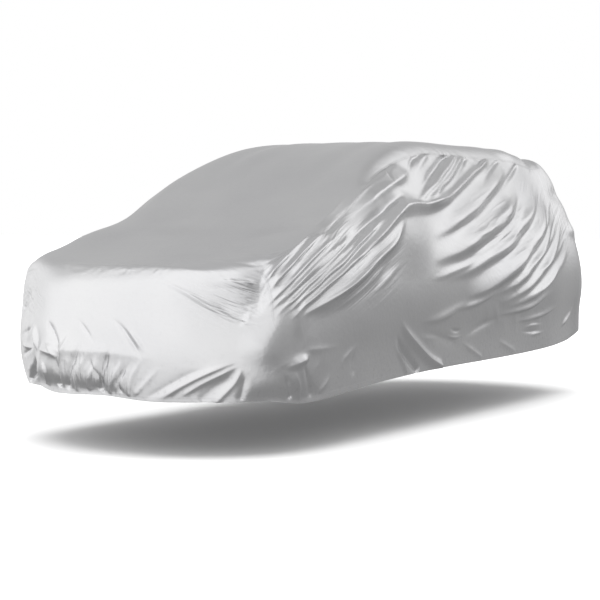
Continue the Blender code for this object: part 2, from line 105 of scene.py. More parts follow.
# Folds: the crest's height above the cloth (negative for a trough), how far it reaches on the left and on the right of
# its path, how soft the crest is (1 sharp, 2 round), over what share of its length it rises and dies out, and its path.
Fold = namedtuple("Fold", "name height left right softness rise_share fade_share path")
FOLDS = [
    Fold("sweep_1", 0.050, 0.055, 0.150, 1.5, 0.30, 0.35, ((0.63, 1.35, 1.62), (0.71, 1.05, 1.51), (0.77, 0.72, 1.41), (0.83, 0.40, 1.31), (0.87, 0.12, 1.24), (0.89, -0.11, 1.17), (0.91, -0.30, 1.14))),
    Fold("sweep_2", 0.066, 0.065, 0.180, 1.5, 0.30, 0.35, ((0.73, 1.34, 1.46), (0.79, 1.10, 1.35), (0.85, 0.81, 1.25), (0.89, 0.51, 1.17), (0.92, 0.18, 1.09), (0.94, -0.10, 1.03), (0.95, -0.38, 1.00))),
    Fold("sweep_3", 0.048, 0.055, 0.130, 1.5, 0.30, 0.45, ((0.70, 1.74, 1.47), (0.81, 1.33, 1.30), (0.87, 0.99, 1.18), (0.93, 0.65, 1.07), (0.95, 0.35, 0.99), (0.97, 0.06, 0.93), (0.97, -0.31, 0.88))),
    Fold("sweep_4", 0.074, 0.068, 0.180, 1.5, 0.30, 0.35, ((0.73, 1.83, 1.40), (0.83, 1.50, 1.24), (0.90, 1.20, 1.10), (0.95, 0.89, 0.99), (0.97, 0.61, 0.90), (0.98, 0.33, 0.82), (0.98, -0.02, 0.77))),
    Fold("sweep_5", 0.036, 0.045, 0.075, 1.5, 0.35, 0.40, ((0.77, 1.87, 1.32), (0.87, 1.53, 1.14), (0.94, 1.22, 1.00), (0.97, 0.93, 0.89), (0.98, 0.65, 0.81), (0.98, 0.32, 0.75))),
    Fold("sweep_6", 0.030, 0.040, 0.065, 1.5, 0.35, 0.40, ((0.81, 1.94, 1.24), (0.89, 1.66, 1.08), (0.95, 1.35, 0.95), (0.97, 1.07, 0.84), (0.98, 0.78, 0.76), (0.98, 0.49, 0.70))),
    Fold("sweep_7", 0.016, 0.035, 0.060, 1.5, 0.40, 0.40, ((0.88, 1.91, 1.07), (0.92, 1.70, 0.96), (0.96, 1.42, 0.86), (0.97, 1.19, 0.79), (0.98, 0.82, 0.73))),
    Fold("sweep_9", 0.012, 0.030, 0.060, 1.5, 0.40, 0.50, ((0.95, 0.25, 1.01), (0.96, 0.02, 0.96), (0.97, -0.21, 0.92), (0.97, -0.43, 0.90))),
    Fold("fine_1", 0.015, 0.022, 0.045, 1.5, 0.40, 0.50, ((0.75, 1.42, 1.42), (0.85, 1.00, 1.24), (0.90, 0.67, 1.14), (0.93, 0.40, 1.06), (0.95, 0.12, 1.00))),
    Fold("fine_2", 0.014, 0.022, 0.035, 1.5, 0.40, 0.50, ((0.77, 1.51, 1.36), (0.87, 1.12, 1.19), (0.92, 0.81, 1.09), (0.95, 0.54, 1.01), (0.96, 0.33, 0.96))),
    Fold("fine_3", 0.016, 0.022, 0.040, 1.5, 0.40, 0.40, ((0.72, 1.95, 1.43), (0.81, 1.69, 1.27), (0.89, 1.37, 1.13), (0.93, 1.07, 1.03))),
    Fold("fine_4", 0.015, 0.022, 0.035, 1.5, 0.40, 0.40, ((0.79, 1.92, 1.29), (0.86, 1.67, 1.15), (0.92, 1.38, 1.04), (0.95, 1.08, 0.95), (0.98, 0.78, 0.88))),
    Fold("fine_5", 0.014, 0.022, 0.035, 1.5, 0.40, 0.40, ((0.85, 1.91, 1.15), (0.90, 1.68, 1.04), (0.95, 1.39, 0.95), (0.97, 1.08, 0.88))),
    Fold("fine_6", 0.012, 0.025, 0.040, 1.5, 0.40, 0.40, ((0.85, 0.75, 1.24), (0.88, 0.56, 1.19), (0.90, 0.35, 1.15), (0.91, 0.14, 1.11))),
    Fold("fine_7", 0.011, 0.020, 0.030, 1.5, 0.40, 0.50, ((0.75, 1.21, 1.42), (0.82, 0.91, 1.31), (0.86, 0.64, 1.24), (0.89, 0.37, 1.18))),
    Fold("mirror_ridge_1", 0.020, 0.022, 0.030, 1.2, 0.12, 0.15, ((0.58, 0.70, 1.70), (0.67, 0.41, 1.60), (0.70, 0.26, 1.55), (0.74, 0.09, 1.49), (0.77, -0.08, 1.44), (0.80, -0.24, 1.38), (0.83, -0.36, 1.35))),
    Fold("mirror_ridge_2", 0.020, 0.022, 0.030, 1.2, 0.12, 0.15, ((0.59, 0.79, 1.69), (0.65, 0.58, 1.62), (0.69, 0.42, 1.56), (0.73, 0.27, 1.51), (0.76, 0.10, 1.46), (0.79, -0.06, 1.40), (0.82, -0.24, 1.35))),
    Fold("mirror_ridge_3", 0.034, 0.036, 0.045, 1.2, 0.15, 0.12, ((0.58, 1.18, 1.68), (0.65, 0.92, 1.61), (0.69, 0.69, 1.55), (0.74, 0.47, 1.49), (0.78, 0.25, 1.43), (0.80, 0.08, 1.38), (0.82, -0.09, 1.35), (0.83, -0.24, 1.33))),
    Fold("mirror_ledge", 0.026, 0.050, 0.034, 1.3, 0.25, 0.40, ((0.80, 0.08, 1.38), (0.82, -0.09, 1.35), (0.83, -0.24, 1.33), (0.84, -0.42, 1.33), (0.87, -0.59, 1.31), (0.88, -0.69, 1.28), (0.89, -0.81, 1.22), (0.89, -0.93, 1.15))),
    Fold("pleat_a", -0.026, 0.034, 0.022, 1.5, 0.14, 0.60, ((0.50, 0.34, 1.76), (0.62, 0.04, 1.68), (0.67, -0.13, 1.60), (0.73, -0.28, 1.51))),
    Fold("pleat_b", 0.018, 0.038, 0.050, 1.8, 0.14, 0.60, ((0.50, 0.48, 1.75), (0.63, 0.16, 1.67), (0.69, -0.06, 1.58), (0.74, -0.23, 1.49))),
    Fold("pleat_c", -0.026, 0.036, 0.050, 1.6, 0.14, 0.40, ((0.48, 0.80, 1.76), (0.59, 0.54, 1.69), (0.68, 0.22, 1.59), (0.74, -0.05, 1.49), (0.79, -0.29, 1.40))),
    Fold("pleat_d", -0.015, 0.022, 0.026, 1.5, 0.16, 0.60, ((0.47, 1.14, 1.76), (0.60, 0.82, 1.68), (0.68, 0.55, 1.58), (0.74, 0.27, 1.48))),
    Fold("pleat_e", -0.015, 0.022, 0.026, 1.5, 0.18, 0.60, ((0.49, 1.32, 1.75), (0.58, 1.10, 1.69), (0.64, 0.90, 1.62), (0.69, 0.68, 1.55))),
    Fold("pleat_f", -0.015, 0.024, 0.030, 1.5, 0.16, 0.60, ((0.53, 1.65, 1.69), (0.59, 1.61, 1.64), (0.69, 1.26, 1.53), (0.77, 0.95, 1.41))),
    Fold("pleat_g", -0.010, 0.018, 0.018, 1.5, 0.20, 0.70, ((0.52, 2.02, 1.69), (0.57, 1.97, 1.65), (0.64, 1.74, 1.55))),
    Fold("pleat_h", -0.013, 0.020, 0.026, 1.4, 0.16, 0.60, ((0.48, 1.55, 1.73), (0.59, 1.31, 1.67), (0.68, 0.96, 1.56), (0.75, 0.65, 1.45))),
    Fold("pleat_i", -0.009, 0.020, 0.016, 1.4, 0.30, 0.50, ((0.63, -0.24, 1.64), (0.66, -0.38, 1.59), (0.69, -0.47, 1.54), (0.73, -0.52, 1.48), (0.77, -0.54, 1.43))),
    Fold("bundle_0", -0.030, 0.046, 0.060, 1.5, 0.22, 0.50, ((0.79, -0.45, 1.40), (0.83, -0.64, 1.36), (0.85, -0.80, 1.30), (0.85, -0.92, 1.25), (0.85, -1.05, 1.19), (0.87, -1.25, 1.11))),
    Fold("bundle_base", 0.042, 0.100, 0.170, 1.8, 0.35, 0.35, ((0.87, -0.57, 1.31), (0.91, -0.76, 1.19), (0.92, -0.99, 1.06), (0.94, -1.29, 0.93), (0.93, -1.56, 0.82), (0.92, -1.79, 0.74))),
    Fold("bundle_1", 0.024, 0.030, 0.028, 1.2, 0.08, 0.22, ((0.86, -0.55, 1.32), (0.89, -0.72, 1.27), (0.89, -0.87, 1.19), (0.89, -1.01, 1.12), (0.90, -1.15, 1.06), (0.91, -1.31, 1.01), (0.92, -1.45, 0.95), (0.92, -1.59, 0.89), (0.92, -1.74, 0.82), (0.92, -1.86, 0.77), (0.90, -1.95, 0.71))),
    Fold("bundle_2", 0.017, 0.022, 0.026, 1.2, 0.20, 0.15, ((0.86, -0.75, 1.30), (0.87, -0.90, 1.23), (0.87, -1.05, 1.15), (0.88, -1.21, 1.09), (0.90, -1.37, 1.02), (0.91, -1.54, 0.96), (0.91, -1.70, 0.88), (0.91, -1.87, 0.81), (0.88, -1.97, 0.74))),
    Fold("bundle_3", 0.016, 0.022, 0.026, 1.3, 0.30, 0.12, ((0.86, -0.93, 1.23), (0.86, -1.14, 1.14), (0.89, -1.38, 1.05), (0.90, -1.58, 0.97), (0.90, -1.78, 0.88), (0.90, -1.93, 0.81), (0.86, -2.00, 0.74))),
    Fold("bundle_4", 0.015, 0.020, 0.026, 1.3, 0.35, 0.12, ((0.83, -1.08, 1.20), (0.86, -1.33, 1.11), (0.88, -1.55, 1.03), (0.89, -1.76, 0.94), (0.89, -1.92, 0.86), (0.84, -2.02, 0.77))),
    Fold("bundle_5", 0.014, 0.020, 0.026, 1.3, 0.40, 0.12, ((0.81, -1.17, 1.21), (0.85, -1.45, 1.11), (0.87, -1.67, 1.02), (0.89, -1.87, 0.93), (0.86, -1.98, 0.85), (0.82, -2.04, 0.78))),
    Fold("bundle_6", 0.012, 0.020, 0.028, 1.4, 0.45, 0.12, ((0.77, -1.24, 1.22), (0.82, -1.54, 1.13), (0.85, -1.77, 1.03), (0.86, -1.95, 0.94), (0.81, -2.04, 0.83))),
    Fold("bundle_7", 0.028, 0.040, 0.036, 1.4, 0.20, 0.30, ((0.90, -0.61, 1.26), (0.92, -0.72, 1.19), (0.92, -0.82, 1.12), (0.92, -0.95, 1.06), (0.93, -1.12, 0.99), (0.94, -1.27, 0.93), (0.94, -1.43, 0.87), (0.93, -1.58, 0.82), (0.92, -1.73, 0.77), (0.92, -1.87, 0.72))),
    Fold("bundle_8", 0.012, 0.028, 0.036, 1.5, 0.45, 0.45, ((0.94, -0.83, 1.04), (0.95, -1.03, 0.95), (0.96, -1.21, 0.88), (0.95, -1.38, 0.81), (0.94, -1.55, 0.75))),
    Fold("bundle_9", 0.007, 0.026, 0.034, 1.5, 0.45, 0.45, ((0.95, -0.74, 1.01), (0.96, -0.93, 0.92), (0.97, -1.13, 0.83))),
    Fold("bundle_10", -0.009, 0.020, 0.020, 1.4, 0.40, 0.40, ((0.89, -0.93, 1.15), (0.90, -1.13, 1.06), (0.92, -1.34, 0.98), (0.92, -1.52, 0.91), (0.92, -1.70, 0.84))),
    Fold("skirt_1", 0.024, 0.044, 0.060, 1.3, 0.35, 0.06, ((0.98, -0.80, 0.68), (0.96, -0.67, 0.57), (0.96, -0.53, 0.49), (0.96, -0.39, 0.42), (0.96, -0.23, 0.36))),
    Fold("skirt_2", -0.017, 0.040, 0.046, 1.5, 0.50, 0.04, ((0.97, -0.85, 0.60), (0.96, -0.76, 0.50), (0.96, -0.66, 0.43), (0.96, -0.55, 0.35))),
    Fold("skirt_3", 0.009, 0.030, 0.030, 1.4, 0.45, 0.04, ((0.96, -0.85, 0.54), (0.96, -0.78, 0.46), (0.96, -0.70, 0.36))),
    Fold("skirt_4", 0.006, 0.035, 0.043, 1.3, 0.45, 0.10, ((0.96, 0.02, 0.50), (0.96, 0.16, 0.44), (0.96, 0.32, 0.37))),
    Fold("skirt_5", 0.005, 0.035, 0.043, 1.3, 0.45, 0.20, ((0.95, 0.54, 0.48), (0.95, 0.70, 0.43), (0.95, 0.86, 0.38))),
    Fold("skirt_6", -0.006, 0.050, 0.062, 1.5, 0.50, 0.40, ((0.97, -0.57, 0.60), (0.96, -0.28, 0.55), (0.96, 0.03, 0.47))),
    Fold("skirt_7", 0.004, 0.025, 0.037, 1.4, 0.45, 0.45, ((0.96, -0.54, 0.56), (0.96, -0.41, 0.55), (0.96, -0.27, 0.54))),
    Fold("skirt_9", 0.014, 0.026, 0.036, 1.4, 0.40, 0.40, ((0.90, 1.93, 0.64), (0.90, 1.85, 0.57), (0.91, 1.68, 0.49))),
    Fold("arch_1", 0.023, 0.045, 0.042, 1.6, 0.45, 0.45, ((0.90, -1.95, 0.47), (0.92, -1.91, 0.49), (0.94, -1.84, 0.51), (0.94, -1.74, 0.53))),
    Fold("arch_2", -0.011, 0.028, 0.028, 1.5, 0.40, 0.15, ((0.90, -1.96, 0.45), (0.91, -1.92, 0.38), (0.92, -1.88, 0.30))),
    Fold("arch_3", 0.006, 0.022, 0.022, 1.3, 0.35, 0.20, ((0.93, -1.90, 0.46), (0.93, -1.85, 0.38), (0.93, -1.80, 0.29))),
    Fold("arch_4", -0.007, 0.026, 0.030, 1.5, 0.35, 0.15, ((0.94, -1.83, 0.49), (0.94, -1.77, 0.40), (0.93, -1.70, 0.30))),
    Fold("arch_5", 0.004, 0.031, 0.039, 1.4, 0.40, 0.45, ((0.93, -1.89, 0.54), (0.94, -1.78, 0.56), (0.94, -1.62, 0.56), (0.95, -1.45, 0.56))),
    Fold("arch_6", 0.005, 0.025, 0.034, 1.3, 0.45, 0.20, ((0.95, -1.54, 0.42), (0.94, -1.59, 0.37), (0.94, -1.66, 0.32))),
    Fold("arch_7", 0.004, 0.028, 0.034, 1.3, 0.45, 0.45, ((0.95, -1.40, 0.40), (0.95, -1.43, 0.47), (0.96, -1.36, 0.52), (0.96, -1.26, 0.57))),
    Fold("arch_8", -0.005, 0.042, 0.042, 1.5, 0.50, 0.30, ((0.96, -1.30, 0.53), (0.96, -1.33, 0.46), (0.95, -1.32, 0.37))),
    Fold("front_long", 0.015, 0.022, 0.026, 1.2, 0.50, 0.35, ((0.26, -2.26, 0.96), (0.39, -2.26, 0.92), (0.48, -2.24, 0.88), (0.55, -2.22, 0.84), (0.62, -2.19, 0.80), (0.70, -2.14, 0.75), (0.78, -2.09, 0.72), (0.86, -2.01, 0.70))),
    Fold("front_long_2", -0.003, 0.021, 0.021, 1.2, 0.50, 0.25, ((0.53, -2.23, 0.82), (0.60, -2.20, 0.79), (0.67, -2.17, 0.74), (0.74, -2.12, 0.70))),
    Fold("pocket", -0.015, 0.050, 0.070, 1.9, 0.50, 0.12, ((0.57, -2.20, 0.87), (0.64, -2.17, 0.83), (0.71, -2.13, 0.78), (0.77, -2.09, 0.74))),
    Fold("pocket_bar_1", -0.009, 0.026, 0.030, 1.5, 0.60, 0.30, ((0.54, -2.20, 0.92), (0.64, -2.15, 0.91), (0.73, -2.09, 0.89), (0.80, -2.04, 0.86))),
    Fold("pocket_small_1", 0.005, 0.018, 0.018, 1.3, 0.50, 0.20, ((0.68, -2.14, 0.85), (0.74, -2.10, 0.81), (0.80, -2.06, 0.78))),
    Fold("pocket_small_2", 0.005, 0.018, 0.018, 1.3, 0.50, 0.20, ((0.65, -2.16, 0.82), (0.72, -2.12, 0.78), (0.79, -2.07, 0.74))),
    Fold("bonnet_lip", 0.014, 0.080, 0.060, 1.4, 0.40, 0.20, ((0.68, -2.08, 0.99), (0.51, -2.16, 0.99), (0.31, -2.20, 1.00), (0.10, -2.22, 1.00), (-0.15, -2.22, 1.00), (-0.50, -2.14, 1.01))),
    Fold("bumper_lip", 0.012, 0.070, 0.060, 1.4, 0.20, 0.35, ((-0.50, -2.29, 0.56), (-0.26, -2.38, 0.56), (-0.00, -2.40, 0.56), (0.22, -2.38, 0.55), (0.41, -2.33, 0.53))),
    Fold("front_1", -0.015, 0.022, 0.018, 1.3, 0.35, 0.30, ((0.07, -2.37, 0.75), (0.15, -2.37, 0.69), (0.23, -2.38, 0.61), (0.30, -2.37, 0.52))),
    Fold("front_2", 0.010, 0.018, 0.018, 1.3, 0.40, 0.40, ((0.17, -2.37, 0.71), (0.25, -2.37, 0.63), (0.32, -2.36, 0.55))),
    Fold("front_3", -0.010, 0.020, 0.018, 1.3, 0.40, 0.50, ((-0.16, -2.36, 0.74), (-0.08, -2.38, 0.67), (0.00, -2.40, 0.59))),
    Fold("front_4", -0.008, 0.025, 0.020, 1.3, 0.20, 0.50, ((-0.80, -2.06, 0.73), (-0.70, -2.14, 0.78), (-0.54, -2.23, 0.82))),
    Fold("front_low_1", 0.013, 0.024, 0.026, 1.3, 0.45, 0.40, ((-0.19, -2.37, 0.67), (-0.23, -2.38, 0.57), (-0.28, -2.37, 0.48))),
    Fold("front_low_2", -0.016, 0.024, 0.028, 1.4, 0.45, 0.08, ((-0.08, -2.39, 0.64), (-0.13, -2.39, 0.55), (-0.20, -2.38, 0.44), (-0.27, -2.35, 0.33))),
    Fold("front_low_3", 0.010, 0.022, 0.022, 1.3, 0.40, 0.10, ((-0.05, -2.40, 0.57), (-0.10, -2.40, 0.49), (-0.16, -2.38, 0.40), (-0.19, -2.36, 0.32))),
    Fold("front_low_4", -0.018, 0.026, 0.030, 1.4, 0.45, 0.06, ((0.12, -2.39, 0.61), (0.08, -2.40, 0.53), (0.04, -2.39, 0.45), (-0.01, -2.37, 0.33))),
    Fold("front_low_5", 0.010, 0.022, 0.024, 1.3, 0.40, 0.10, ((0.01, -2.40, 0.56), (-0.01, -2.40, 0.48), (-0.07, -2.39, 0.40), (-0.09, -2.37, 0.33))),
    Fold("front_low_6", 0.010, 0.022, 0.022, 1.3, 0.40, 0.10, ((0.18, -2.39, 0.53), (0.13, -2.39, 0.45), (0.08, -2.38, 0.38), (0.05, -2.37, 0.32))),
    Fold("front_low_7", -0.011, 0.020, 0.020, 1.3, 0.40, 0.10, ((0.22, -2.38, 0.52), (0.17, -2.39, 0.45), (0.13, -2.38, 0.39), (0.14, -2.37, 0.33))),
    Fold("front_low_8", 0.009, 0.020, 0.022, 1.3, 0.40, 0.10, ((0.29, -2.37, 0.54), (0.24, -2.38, 0.46), (0.20, -2.37, 0.38), (0.18, -2.36, 0.32))),
    Fold("front_low_9", 0.007, 0.022, 0.024, 1.3, 0.40, 0.20, ((0.39, -2.34, 0.50), (0.32, -2.35, 0.43), (0.26, -2.36, 0.37), (0.20, -2.36, 0.32))),
    Fold("front_low_10", -0.008, 0.020, 0.020, 1.3, 0.40, 0.20, ((-0.05, -2.40, 0.55), (-0.03, -2.40, 0.48), (0.01, -2.39, 0.41), (-0.01, -2.38, 0.34))),
    Fold("corner_1", -0.020, 0.030, 0.030, 1.4, 0.40, 0.30, ((-0.40, -2.31, 0.72), (-0.32, -2.35, 0.63), (-0.25, -2.38, 0.54))),
    Fold("corner_2", 0.014, 0.024, 0.026, 1.3, 0.40, 0.40, ((-0.48, -2.31, 0.55), (-0.37, -2.35, 0.54), (-0.26, -2.38, 0.52))),
    Fold("corner_3", -0.014, 0.024, 0.024, 1.4, 0.30, 0.40, ((-0.84, -2.05, 0.58), (-0.63, -2.21, 0.64), (-0.52, -2.27, 0.70))),
    Fold("corner_4", 0.018, 0.024, 0.024, 1.3, 0.40, 0.40, ((-0.55, -2.25, 0.69), (-0.51, -2.29, 0.61), (-0.49, -2.30, 0.52))),
    Fold("corner_5", -0.020, 0.026, 0.026, 1.4, 0.35, 0.05, ((-0.51, -2.29, 0.52), (-0.55, -2.26, 0.44), (-0.67, -2.15, 0.35))),
    Fold("corner_6", 0.014, 0.024, 0.024, 1.3, 0.35, 0.06, ((-0.44, -2.32, 0.49), (-0.43, -2.32, 0.42), (-0.47, -2.28, 0.34))),
    Fold("corner_7", -0.018, 0.022, 0.026, 1.4, 0.35, 0.06, ((-0.29, -2.37, 0.52), (-0.30, -2.36, 0.44), (-0.34, -2.33, 0.34))),
    Fold("corner_8", 0.011, 0.022, 0.022, 1.3, 0.40, 0.40, ((-0.78, -2.10, 0.57), (-0.62, -2.22, 0.55), (-0.49, -2.30, 0.55))),
    Fold("corner_9", -0.012, 0.022, 0.022, 1.3, 0.40, 0.40, ((-0.79, -2.08, 0.48), (-0.61, -2.23, 0.53), (-0.48, -2.30, 0.56))),
    Fold("corner_10", 0.010, 0.020, 0.020, 1.3, 0.40, 0.40, ((-0.40, -2.34, 0.60), (-0.33, -2.36, 0.55), (-0.29, -2.37, 0.50))),
    Fold("hemfold_1", 0.016, 0.036, 0.033, 1.3, 0.35, 0.20, ((0.75, -2.12, 0.53), (0.68, -2.18, 0.50), (0.58, -2.24, 0.45), (0.48, -2.29, 0.39), (0.34, -2.33, 0.31))),
    Fold("hemfold_2", -0.007, 0.030, 0.030, 1.5, 0.45, 0.15, ((0.63, -2.22, 0.49), (0.54, -2.27, 0.46), (0.43, -2.31, 0.40), (0.28, -2.35, 0.32))),
    Fold("hemfold_3", 0.010, 0.029, 0.029, 1.3, 0.35, 0.20, ((0.75, -2.12, 0.51), (0.67, -2.18, 0.46), (0.57, -2.24, 0.40), (0.45, -2.29, 0.32))),
    Fold("hemfold_4", -0.008, 0.045, 0.050, 1.7, 0.35, 0.10, ((0.74, -2.13, 0.48), (0.69, -2.16, 0.42), (0.62, -2.20, 0.37), (0.55, -2.23, 0.30))),
    Fold("hemfold_5", 0.009, 0.026, 0.026, 1.3, 0.30, 0.06, ((0.75, -2.12, 0.50), (0.72, -2.14, 0.42), (0.67, -2.16, 0.36), (0.62, -2.19, 0.30))),
    Fold("hemfold_6", -0.008, 0.030, 0.030, 1.5, 0.40, 0.10, ((0.76, -2.11, 0.46), (0.75, -2.11, 0.39), (0.72, -2.11, 0.31))),
    Fold("scuttle_1", -0.005, 0.034, 0.030, 1.5, 0.50, 0.40, ((0.37, -2.00, 1.05), (0.62, -2.04, 1.04), (0.77, -1.96, 1.04), (0.81, -1.76, 1.07))),
    Fold("scuttle_2", 0.006, 0.022, 0.022, 1.4, 0.50, 0.40, ((0.53, -1.89, 1.07), (0.73, -1.90, 1.07), (0.78, -1.72, 1.10))),
    Fold("scuttle_3", 0.005, 0.018, 0.018, 1.3, 0.40, 0.40, ((0.76, -1.96, 1.04), (0.79, -1.87, 1.06), (0.78, -1.67, 1.12))),
    Fold("screen_1", 0.007, 0.025, 0.035, 1.4, 0.40, 0.50, ((0.71, -0.66, 1.48), (0.74, -0.84, 1.41), (0.75, -0.98, 1.35), (0.75, -1.10, 1.28))),
    Fold("screen_2", -0.008, 0.035, 0.035, 1.6, 0.40, 0.50, ((0.76, -0.98, 1.34), (0.76, -1.13, 1.27), (0.78, -1.31, 1.20), (0.82, -1.51, 1.14))),
    Fold("screen_3", 0.006, 0.025, 0.030, 1.5, 0.50, 0.50, ((0.69, -0.89, 1.43), (0.70, -1.05, 1.34), (0.70, -1.21, 1.26), (0.74, -1.46, 1.19))),
    Fold("bump_1", -0.007, 0.022, 0.024, 1.8, 0.50, 0.50, ((0.96, -0.15, 0.59), (0.96, -0.05, 0.57), (0.96, 0.03, 0.58))),
    Fold("bump_2", 0.004, 0.016, 0.018, 1.8, 0.50, 0.50, ((0.96, -0.19, 0.55), (0.96, -0.07, 0.53), (0.96, 0.05, 0.54))),
    Fold("bump_3", 0.007, 0.022, 0.026, 1.8, 0.50, 0.50, ((0.94, 0.96, 0.53), (0.94, 1.13, 0.54), (0.94, 1.33, 0.54))),
    Fold("bump_4", -0.006, 0.018, 0.020, 1.8, 0.50, 0.50, ((0.94, 0.93, 0.51), (0.94, 1.10, 0.50), (0.94, 1.28, 0.51))),
    Fold("front_tuck", -0.036, 0.110, 0.170, 1.7, 0.12, 0.35, ((-0.67, -2.15, 0.35), (-0.33, -2.34, 0.34), (-0.06, -2.37, 0.33), (0.17, -2.36, 0.32), (0.36, -2.32, 0.32))),
    Fold("corner_tuck", -0.032, 0.120, 0.240, 1.7, 0.35, 0.40, ((0.68, -2.15, 0.30), (0.77, -2.07, 0.30), (0.86, -1.98, 0.30), (0.93, -1.84, 0.30), (0.94, -1.55, 0.31))),
    Fold("bundle_11", 0.011, 0.018, 0.022, 1.2, 0.35, 0.20, ((0.87, -0.86, 1.24), (0.87, -1.03, 1.16), (0.89, -1.24, 1.08), (0.90, -1.46, 0.99), (0.91, -1.64, 0.91), (0.91, -1.82, 0.83))),
    Fold("bundle_12", 0.010, 0.018, 0.022, 1.2, 0.35, 0.15, ((0.85, -1.01, 1.22), (0.86, -1.24, 1.13), (0.89, -1.48, 1.04), (0.89, -1.68, 0.96), (0.90, -1.87, 0.88), (0.86, -1.98, 0.79))),
    Fold("pocket_edge", -0.034, 0.060, 0.160, 1.6, 0.35, 0.30, ((0.77, -1.90, 1.06), (0.80, -1.99, 0.98), (0.82, -2.01, 0.91), (0.81, -2.04, 0.83), (0.84, -2.03, 0.76))),
    Fold("pocket_bar_3", 0.010, 0.020, 0.024, 1.4, 0.50, 0.15, ((0.60, -2.16, 0.95), (0.69, -2.11, 0.94), (0.78, -2.04, 0.93))),
    Fold("pocket_bar_4", -0.007, 0.016, 0.018, 1.4, 0.50, 0.30, ((0.66, -2.15, 0.85), (0.73, -2.11, 0.82), (0.80, -2.06, 0.79))),
    Fold("corner_ridge", 0.026, 0.190, 0.150, 1.8, 0.30, 0.30, ((0.92, -1.76, 0.81), (0.91, -1.90, 0.75), (0.87, -2.00, 0.68), (0.81, -2.07, 0.58), (0.75, -2.12, 0.50))),
    Fold("flank_low_1", 0.026, 0.034, 0.055, 1.6, 0.40, 0.45, ((0.93, 1.63, 0.96), (0.96, 1.40, 0.85), (0.97, 1.15, 0.77), (0.97, 0.89, 0.72), (0.97, 0.62, 0.68))),
    Fold("flank_low_2", 0.015, 0.040, 0.060, 1.7, 0.45, 0.50, ((0.98, 0.09, 0.76), (0.98, -0.11, 0.70), (0.97, -0.33, 0.66), (0.97, -0.56, 0.65))),
    Fold("flank_low_3", -0.011, 0.040, 0.050, 1.7, 0.45, 0.45, ((0.96, 0.57, 0.62), (0.96, 0.28, 0.58), (0.96, 0.03, 0.52))),
    Fold("pillar_shelf", 0.036, 0.050, 0.180, 1.0, 0.20, 0.40, ((0.70, -0.19, 1.56), (0.73, -0.37, 1.50), (0.75, -0.51, 1.46), (0.78, -0.68, 1.41), (0.80, -0.85, 1.35), (0.80, -0.98, 1.30), (0.80, -1.12, 1.24))),
    Fold("ledge_slope", 0.032, 0.055, 0.240, 1.4, 0.30, 0.20, ((0.78, 0.23, 1.41), (0.81, -0.01, 1.37), (0.82, -0.23, 1.34), (0.84, -0.41, 1.33), (0.86, -0.61, 1.33), (0.85, -0.74, 1.32))),
    Fold("bundle_13", 0.010, 0.018, 0.026, 1.3, 0.40, 0.12, ((0.74, -1.35, 1.21), (0.79, -1.61, 1.13), (0.82, -1.83, 1.05), (0.83, -1.98, 0.96), (0.80, -2.03, 0.88))),
    Fold("bundle_14", 0.008, 0.016, 0.022, 1.3, 0.40, 0.15, ((0.80, -1.62, 1.12), (0.83, -1.82, 1.05), (0.83, -1.96, 0.98), (0.80, -2.03, 0.91))),
    Fold("bump_5", 0.006, 0.018, 0.022, 1.8, 0.50, 0.50, ((0.94, 1.07, 0.47), (0.94, 1.21, 0.48), (0.93, 1.35, 0.49))),
    Fold("flank_low_4", 0.021, 0.030, 0.052, 1.5, 0.40, 0.50, ((0.96, 1.49, 0.78), (0.97, 1.27, 0.73), (0.96, 1.04, 0.68), (0.97, 0.75, 0.65), (0.97, 0.47, 0.63))),
    Fold("flank_low_5", 0.017, 0.028, 0.050, 1.5, 0.40, 0.50, ((0.99, 0.52, 0.80), (0.98, 0.33, 0.76), (0.98, 0.09, 0.72), (0.98, -0.15, 0.70))),
    Fold("flank_low_6", 0.014, 0.024, 0.044, 1.5, 0.40, 0.50, ((0.94, 1.62, 0.67), (0.94, 1.36, 0.62), (0.95, 1.09, 0.59), (0.95, 0.78, 0.58))),
]
RIGHT_SHIFT, RIGHT_SHARE = 0.06, 0.8
LEFT_ONLY = ("corner_ridge", "pocket_edge", "arch_1")
